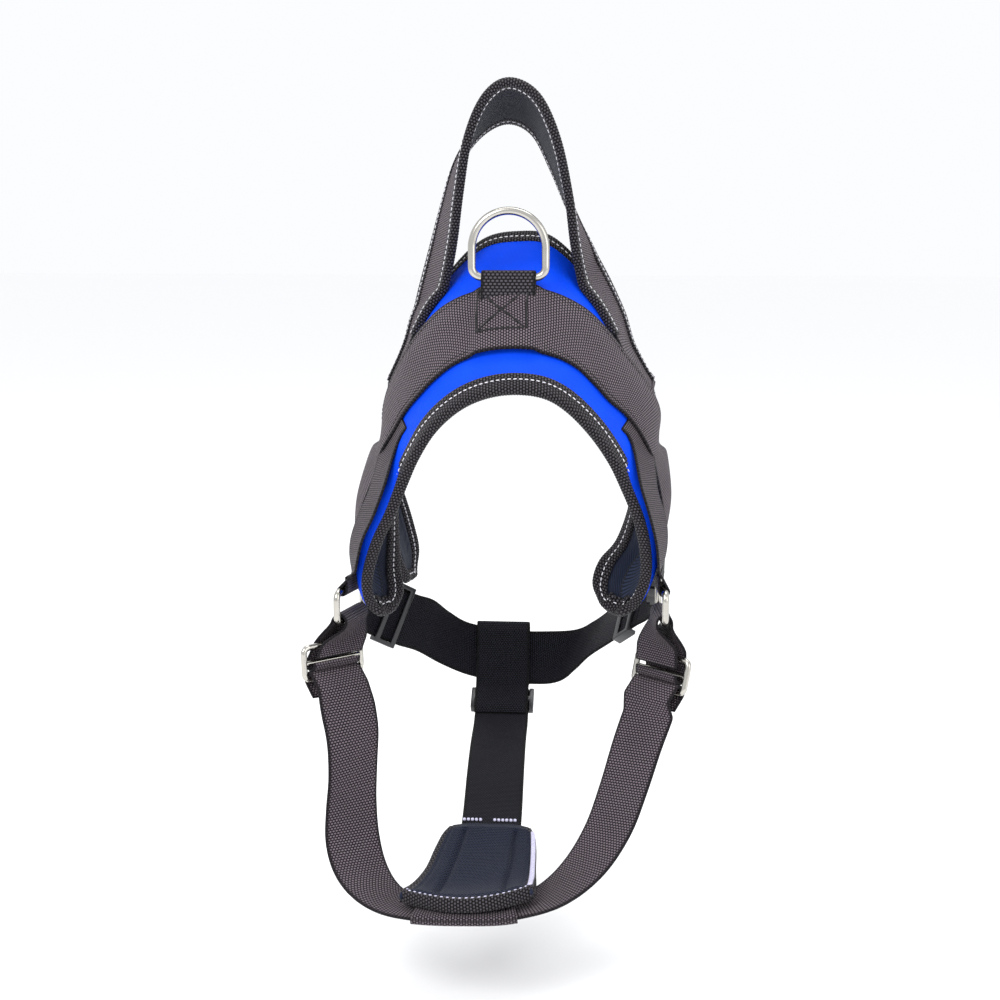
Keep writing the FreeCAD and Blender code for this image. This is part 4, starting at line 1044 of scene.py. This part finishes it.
chest_ends = []
for name, side in SIDES.items():
    ring_bar, low_bar, ring_low, low, rise = side_frame(side)
    out = side["out"]
    # anchor webbing: down the wing, round the ring's top bar and back up under itself
    start, end = side["anchor_start"], side["anchor_end"]
    centres = []
    acrosses = []
    for u in spread(start + (start - end) * 0.42, end, 18):
        from_end = min(u, LAST_RIB - u)
        lo, hi = 0.42 + 0.05 * from_end, 2.55 - 0.17 * from_end
        rise_off = 1.9 - 1.7 * smoothstep((from_end - 5.1) / 0.8)
        a, b = saddle.at([u], [lo], rise_off)[0, 0], saddle.at([u], [hi], rise_off)[0, 0]
        m = saddle.at([u], [(lo + hi) / 2], rise_off)[0, 0]
        centres.append(m)
        acrosses.append(unit(b - a))
    top_bar = np.array(side["ring"], float) + [0, 0, RING_HALF_HEIGHT]
    face = unit(np.cross(ring_bar, [0, 0, 1.0]))
    face = face if face[0] * out > 0 else -face
    across_bar = -ring_bar if np.dot(-ring_bar, acrosses[-1]) > 0 else ring_bar
    for angle in range(0, 181, 20):
        a = math.radians(angle)
        centres.append(top_bar + face * (3.4 * math.cos(a)) - np.array([0, 0, 3.4 * math.sin(a)]))
        acrosses.append(across_bar)
    centres.append(top_bar - face * 3.0 + np.array([0, 0, 9.0]))
    acrosses.append(across_bar)
    grid = strap_grid(list(zip(centres, acrosses)), 1.0, 1.2, 2, evened=True)
    line = grid.mean(axis=1)
    direction = unit(grid[:, 1] - grid[:, 0])
    progress = run_length(line) / run_length(line)[-1]
    widths = np.interp(progress, [0.0, 0.68, 0.84, 1.0], [31.0, 31.0, 26.0, 25.0])
    xs = spread(-0.5, 0.5, 15)
    grid = line[:, None] + direction[:, None] * (xs[None, :] * widths[:, None])[..., None]
    anchor = webbing("anchor_" + name, grid, 1.5, grey_fine, 0.15)
    settle(anchor, "saddle", "grey_webbing", "anchor_webbing_" + name, "anchor_loop_" + name)

    # connector: doubled strap from the side ring to the adjuster's middle bar
    down = unit(low - ring_low)
    stations = []

    def turned(k):
        m = min(1.0, max(0.0, (k - 0.12) / 0.42))
        return unit(ring_bar * (1 - m) + low_bar * m)

    def add(centre, bar, angle, turn):
        square = unit(down - bar * np.dot(down, bar))
        f = np.cross(bar, square) * out
        a = math.radians(angle)
        stations.append((centre + f * (turn * math.cos(a)) - square * (turn * math.sin(a)), bar))

    for k in spread(0.86, 0.09, 9):
        add(ring_low + (low - ring_low) * k, turned(k), 180, 5.0 - 0.9 * math.sin(k * math.pi) ** 2)
    for angle in range(180, -1, -20):
        add(ring_low, ring_bar, angle, 5.0)
    for k in spread(0.09, 0.92, 10):
        add(ring_low + (low - ring_low) * k, turned(k), 0, 4.95 - 0.5 * math.sin(k * math.pi) ** 2)
    for angle in range(0, -181, -20):
        add(low, low_bar, angle, 4.9)
    grid = strap_grid(stations, 35.0, 1.2, 17, evened=True)
    link = webbing("connector_strap_" + name, grid, 1.4, grey_fine, 0.08)
    settle(link, "saddle", "grey_webbing", "connector_" + name)
    # two rows of stitching across the doubled part
    for m, k in enumerate((0.40, 0.52)):
        rows = []
        for x in spread(-15, 15, 16):
            b = turned(k)
            square = unit(down - b * np.dot(down, b))
            f = np.cross(b, square) * out
            rows.append((ring_low + (low - ring_low) * k + b * x + f * 5.3, f))
        points, ups = [r[0] for r in rows], [r[1] for r in rows]
        s = stitches("connector_seam_%s_%d" % (name, m), points, ups, black_thread, 2.6, 2.1)
        settle(s, "saddle", "grey_webbing")

    # the chest strap's end: round the adjuster's lower bar
    low_end_bar = low - rise * ADJUSTER_HALF_HEIGHT
    first = np.array(CHEST[0 if name == "left" else -1][0], float)
    path = bar_path(low_end_bar, low_bar, first - low_end_bar, 11.0, 4.3)
    if path[0][1] < path[-1][1]:
        path = path[::-1]
    chest_ends.append([(p, low_bar) for p in path])
    dress("side_ring_" + name, nickel)
    dress("chest_adjuster_" + name, nickel)
    for piece in ("buckle_housing_", "buckle_plug_", "buckle_prongs_"):
        dress(piece + name, plastic)
dress("leash_ring", nickel)

left_end, right_end = chest_ends
middle = [(np.array(c, float), np.array(w, float)) for c, w in CHEST]
line = []
for k, (c, w) in enumerate(left_end):
    line.append((c, -unit(w) if np.dot(w, middle[0][1]) < 0 else unit(w)))
ts = spread(0, len(CHEST) - 1.0, 200)
cs = through(np.array([c for c, _ in middle]), ts)
ws = unit(through(np.array([w for _, w in middle]), ts))
line += list(zip(cs, ws))
tail = []
for c, w in right_end:
    tail.append((c, -unit(w) if np.dot(w, middle[-1][1]) < 0 else unit(w)))
line += tail[::-1]
grid = strap_grid(line, STRAP_WIDTH, 1.8, 17, evened=True, smooth=90)
chest = webbing("chest_webbing", grid, 1.6, grey_web, 0.35)
settle(chest, "saddle", "grey_webbing", "chest_strap", "chest_strap_end_left", "chest_strap_end_right")

# keeper round the lowest part of the chest strap
ts = spread(8.0, 10.1, 40)
kc = through(np.array([c for c, _ in middle]), ts)
kw = unit(through(np.array([w for _, w in middle]), ts))
kt = unit(np.gradient(kc, axis=0))
kn = unit(np.cross(kt, kw))
keeper_prof = []
for a in range(0, 360, 12):
    c, s = math.cos(math.radians(a)), math.sin(math.radians(a))
    keeper_prof.append((21.2 * np.sign(c) * abs(c) ** 0.35, 3.9 * np.sign(s) * abs(s) ** 0.6))
keeper = profile_run("keeper_sleeve", kc, kw, kn, keeper_prof, grey_fine)
settle(keeper, "saddle", "grey_webbing", "strap_keeper")

# centre strap, girth loop, girth strap
grid = strap_grid(CENTRE + [((-9.3, -34, -331.2), (1, 0, 0))], STRAP_WIDTH, 2.2, 13)
centre_web = webbing("centre_webbing", grid, 1.5, dark_web, 0.15)
settle(centre_web, "saddle", "black_webbing", "centre_strap")
loop_line = [(118.2, -291.9), (120.2, -287.7), (127.1, -282.3), (133.4, -277.6)] + GIRTH_LOOP
loop_stations = [((GIRTH_LOOP_X, y, z), (1, 0, 0)) for y, z in loop_line]
grid = strap_grid(loop_stations, STRAP_WIDTH, 1.2, 17, evened=True)
loop = webbing("girth_sleeve", grid, 1.3, dark_web, 0.1)
settle(loop, "saddle", "black_webbing", "girth_loop")


def plug_frame(side):
    top = np.array(side["buckle"], float)
    down = unit(side["buckle_axis"])
    wide = unit(np.array([0, 1.0, 0]) - down * down[1])
    through_dir = np.cross(wide, down)
    return top, down, wide, through_dir


def local_turn(top, down, wide, thick_dir, centre_y, reach, way):
    """Webbing round a buckle's bar: stations out along one leg, round the bar and back along the other."""
    radius = 3.4
    pts = [(centre_y + way * reach, radius)]
    for angle in range(90, -91, -20):
        a = math.radians(angle)
        pts.append((centre_y - way * radius * math.cos(a), radius * math.sin(a)))
    pts.append((centre_y + way * reach, -radius))
    return [(top + down * y + thick_dir * z, wide) for y, z in pts]


PLUG_BAR = 26.0 + 10.5 - 1.3
for name, side in SIDES.items():
    top, down, wide, thick_dir = plug_frame(side)
    stations = local_turn(top, down, wide, thick_dir, 1.5, 10.0, -1.0)
    grid = strap_grid(stations, STRAP_WIDTH, 1.2, 13, evened=True)
    web = webbing("buckle_strap_" + name, grid, 1.4, grey_fine, 0.05)
    settle(web, "saddle", "grey_webbing", "buckle_webbing_" + name)
    stations = local_turn(top, down, wide, thick_dir, PLUG_BAR, 5.5, 1.0)
    grid = strap_grid(stations, STRAP_WIDTH, 1.2, 13, evened=True)
    web = webbing("plug_strap_" + name, grid, 1.4, dark_web, 0.05)
    settle(web, "buckle_plug_" + name, "grey_webbing", "plug_webbing_" + name)

girth = [(np.array(c, float), np.array(w, float)) for c, w in GIRTH]
grid = strap_grid(girth, STRAP_WIDTH, 2.2, 13)
girth_web = webbing("girth_webbing", grid, 1.6, dark_web, 0.3)
settle(girth_web, "saddle", "black_webbing", "girth_strap")
for name, side in SIDES.items():
    top, down, wide, thick_dir = plug_frame(side)
    plug_end = top + down * (PLUG_BAR + 4.5)
    far = girth[0] if name == "left" else girth[-1]
    near = girth[1] if name == "left" else girth[-2]
    wide = wide if np.dot(wide, far[1]) > 0 else -wide
    toward = unit(near[0] - far[0])
    line = [(plug_end - down * 1.0, wide), (plug_end + down * 3.0, wide)]
    reach = np.linalg.norm(far[0] - plug_end)
    for f in spread(0.15, 1.0, 8):
        h = f * f * (3 - 2 * f)
        straight = plug_end + down * (reach * f * 0.95)
        back = far[0] - toward * (reach * (1 - f) * 0.95)
        line.append((straight * (1 - h) + back * h, unit(wide * (1 - h) + unit(far[1]) * h)))
    line.append((far[0] + toward * 3.0, far[1]))
    web = webbing("girth_lead_" + name, strap_grid(line, 37.6, 1.8, 13, evened=True), 1.5, dark_web, 0.1)
    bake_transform(web)


# ---- plastic sliders: the CAD shape with its edges softened ----
def softened(name, node, body, width=0.7):
    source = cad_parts[node]
    mesh = source.data.copy()
    mesh.name = name
    obj = bpy.data.objects.new(name, mesh)
    bpy.context.scene.collection.objects.link(obj)
    work = bmesh.new()
    work.from_mesh(mesh)
    bmesh.ops.remove_doubles(work, verts=work.verts, dist=1e-6)
    bmesh.ops.dissolve_limit(work, angle_limit=0.02, verts=work.verts, edges=work.edges)
    work.to_mesh(mesh)
    work.free()
    bevel = obj.modifiers.new("bevel", "BEVEL")
    bevel.width = width * MM
    bevel.segments = 3
    bevel.limit_method = "ANGLE"
    bevel.angle_limit = 0.6
    bpy.context.view_layer.update()
    done = bpy.data.meshes.new_from_object(obj.evaluated_get(bpy.context.evaluated_depsgraph_get()))
    obj.modifiers.clear()
    obj.data = done
    done.materials.clear()
    done.materials.append(plastic)
    done.polygons.foreach_set("use_smooth", [True] * len(done.polygons))
    done.set_sharp_from_angle(angle=0.6)
    settle(obj, body, "black_plastic", node)
    return obj


softened("centre_slide", "centre_slider", "centre_slider")
for name in SIDES:
    softened("girth_slide_" + name, "girth_slider_" + name, "girth_slider_" + name)
    softened("housing_" + name, "buckle_housing_" + name, "saddle", 0.6)
    softened("plug_" + name, "buckle_plug_" + name, "buckle_plug_" + name, 0.5)

# ---- rear tongues ----
for name, side in SIDES.items():
    tongue = Sheet(side["tongue"], outward=side["out"])
    tus = spread(0.0, 4.0, 60)
    tvs = spread(0.0, 4.0, 44)
    tmid = tongue.grid(tus, tvs)
    tn = tongue.axes(tus, tvs)[2]
    edge = np.stack([np.minimum(run_length(r), run_length(r)[-1] - run_length(r)) for r in tmid])
    tip = np.array([run_length(tmid[:, j])[-1] - run_length(tmid[:, j]) for j in range(len(tvs))]).T
    soft = smoothstep((np.minimum(edge, tip) - 4.0) / 7.0)
    low = -(4.2 + 3.2 * soft) * np.minimum(1.0, 0.5 + 0.5 * (4.0 - tus))[:, None]
    body = slab("tongue_" + name, tmid, tn, 0.0, low, navy_rib, bulge=0.3)
    puff(body, soft.size, 1 - soft, 0.9)
    settle(body, "saddle", "navy_mesh", "girth_tongue_" + name, "girth_tongue_lining_" + name)
    uv = [(u, 0.0) for u in spread(0.2, 3.9, 60)] + [(3.95, v) for v in spread(0.3, 3.7, 40)]
    uv += [(u, 4.0) for u in spread(3.9, 0.2, 60)]
    pts, outs, nrm = [], [], []
    for u, v in uv:
        p = tongue.grid([u], [v])[0, 0]
        al, ac, nn = tongue.axes([u], [v])
        if v == 0.0:
            o = -ac[0, 0]
        elif v == 4.0:
            o = ac[0, 0]
        else:
            o = al[0, 0]
        pts.append(p)
        outs.append(o)
        nrm.append(nn[0, 0])
    pts, outs, nrm = np.array(pts), relax(unit(np.array(outs)), 12), np.array(nrm)
    pts, outs, nrm = even(relax(pts, 4), 1.0, outs, nrm)
    outs = unit(outs)
    prof = binding_profile(6.5, 0.1, -3.6, 1.6)
    edge_tape = profile_run("tongue_edge_" + name, pts, outs, nrm, prof, tape, 1.9, 0.25)
    settle(edge_tape, "saddle", "black_binding")
    seam("tongue_seam_" + name, pts, outs, nrm, -3.2, -4.6, white_thread, -1.0, pitch=3.0, width=0.9)

# ---- chest pad ----
pad = Sheet(PAD, outward=-1.0)
pus = spread(0.0, 4.0, 110)
pvs = spread(0.0, 4.0, 90)


def pad_v(u, v):
    """v drawn in towards the middle near the rear edge, so that the pad's rear corners are round."""
    return 2.0 + (v - 2.0) * (1 - 0.13 * max(0.0, 1 - u / 0.5) ** 2)


pmid = np.stack([pad.grid([u], pad_v(u, pvs))[0] for u in pus])
up = facing_up(pad.axes(pus, pvs)[2])
edge_v = np.minimum(pvs, 4.0 - pvs)[None, :]
edge_u = np.minimum(pus, 4.0 - pus)[:, None]
swell = smoothstep(edge_v / 0.35) * smoothstep(edge_u / 0.3)
channel = np.exp(-(((pvs - 0.92) / 0.11) ** 2)) + np.exp(-(((pvs - 3.12) / 0.11) ** 2))
channel = channel[None, :] * smoothstep((edge_u - 0.25) / 0.2)
rim_line = np.exp(-(((np.minimum(edge_v / 0.5, 9) - 0.62) / 0.12) ** 2)) * smoothstep((edge_u - 0.2) / 0.2)
top_off = 0.2 + 2.2 * swell - 2.6 * channel - 0.9 * rim_line
pad_top = slab("pad_padding", pmid, up, top_off, -5.2, navy_mesh, bulge=0.2)
puff(pad_top, 0, 1 - swell * (1 - np.clip(channel, 0, 1)) * 0.9, 0.8)
settle(pad_top, "saddle", "navy_mesh", "chest_pad_lining", "chest_pad_foam")
pad_low = slab("pad_cover", pmid, up, -5.2, -6.6, grey_fine)
settle(pad_low, "saddle", "navy_mesh", "chest_pad_cover")
uv = [(u, 0.0) for u in spread(0.1, 3.85, 60)] + [(4.0, v) for v in spread(0.1, 3.9, 60)]
uv += [(u, 4.0) for u in spread(3.85, 0.1, 60)]
pts, outs, nrm = [], [], []
for u, v in uv:
    al, ac, nn = pad.axes([u], [v])
    o = -ac[0, 0] if v == 0.0 else (ac[0, 0] if v == 4.0 else al[0, 0])
    if u == 4.0:
        o = al[0, 0]
    n_up = nn[0, 0] if nn[0, 0][2] > 0 else -nn[0, 0]
    pts.append(pad.grid([u], [pad_v(u, v)])[0, 0])
    outs.append(o)
    nrm.append(n_up)
pts, outs, nrm = even(relax(np.array(pts), 3), 1.0, relax(unit(np.array(outs)), 8), np.array(nrm))
outs = unit(outs)
pad_tape = profile_run("pad_edge", pts, outs, nrm, binding_profile(5.5, 0.4, -6.2, 1.5), tape, 1.9, 0.25)
settle(pad_tape, "saddle", "black_binding", "chest_pad_binding")
front = (pts[:, 1] < pts[:, 1].min() + 22.0)
seam(
    "pad_seam_top", pts[front], outs[front], nrm[front], -2.4, 1.35, lilac_thread, 1.0,
    pitch=3.9, length=1.9, width=1.3,
)
side_u = spread(0.35, 3.85, 90)
stripe = np.stack([pad.grid([u], [pad_v(u, w) for w in (3.90, 3.96, 4.02)])[0] for u in side_u])
stripe_n = facing_up(grid_normals(stripe))
piping = slab("pad_reflector", stripe, stripe_n, 2.7, 1.4, lilac_thread)
settle(piping, "saddle", "black_binding")
for m, (xa, xb) in enumerate(((-28.5, -15.5), (-8.5, 8.5))):
    xs = spread(xa, xb, 20)
    row = np.stack([xs, np.full(20, -21.0), np.full(20, -323.2)], axis=1)
    ups = np.tile([0.0, 0.12, 0.99], (20, 1))
    s = stitches("pad_rear_seam_%d" % m, row, ups, lilac_thread, 2.7, 2.0, 1.5, 1.1)
    settle(s, "saddle", "black_binding")

# ---- floor, light and camera ----
floor_z = -0.41
bpy.ops.mesh.primitive_plane_add(size=14.0, location=(0, 2.0, floor_z))
floor = bpy.context.object
floor.name = "floor"
paper = Nodes("paper")
paper.set(Base_Color=colour(0.985, 0.985, 0.985), Roughness=0.9)
floor.data.materials.append(paper.material)

world = bpy.data.worlds.new("studio")
bpy.context.scene.world = world
bpy.context.scene.view_settings.view_transform = "Standard"
world.use_nodes = True
world.node_tree.nodes["Background"].inputs[0].default_value = (0.97, 0.98, 1.0, 1.0)
world.node_tree.nodes["Background"].inputs[1].default_value = 1.0


def area(name, place, aim, size, power):
    data = bpy.data.lights.new(name, "AREA")
    data.shape = "RECTANGLE"
    data.size = size[0]
    data.size_y = size[1]
    data.energy = power
    obj = bpy.data.objects.new(name, data)
    bpy.context.scene.collection.objects.link(obj)
    obj.location = place
    obj.rotation_euler = (Vector(aim) - Vector(place)).to_track_quat("-Z", "Y").to_euler()


area("key", (-0.9, -1.3, 1.1), (0, 0, -0.1), (1.0, 1.0), 20)
area("fill", (1.3, -0.9, 0.4), (0, 0, -0.1), (1.2, 1.2), 7)
area("top", (0.1, 0.3, 1.4), (0, 0, 0), (1.4, 0.8), 12)

back = Vector((0.0773, -0.9818, 0.1736)).normalized()
right = Vector((math.cos(math.radians(4.5)), math.sin(math.radians(4.5)), 0.0))
right = (right - back * right.dot(back)).normalized()
up_axis = back.cross(right)
cam_data = bpy.data.cameras.new("camera")
cam_data.lens = 64.08
cam_data.sensor_width = 36.0
cam = bpy.data.objects.new("camera", cam_data)
bpy.context.scene.collection.objects.link(cam)
turn = Matrix((right, up_axis, back)).transposed().to_4x4()
cam.matrix_world = Matrix.Translation((0.0837, -1.1344, 0.0875)) @ turn
bpy.context.scene.camera = cam

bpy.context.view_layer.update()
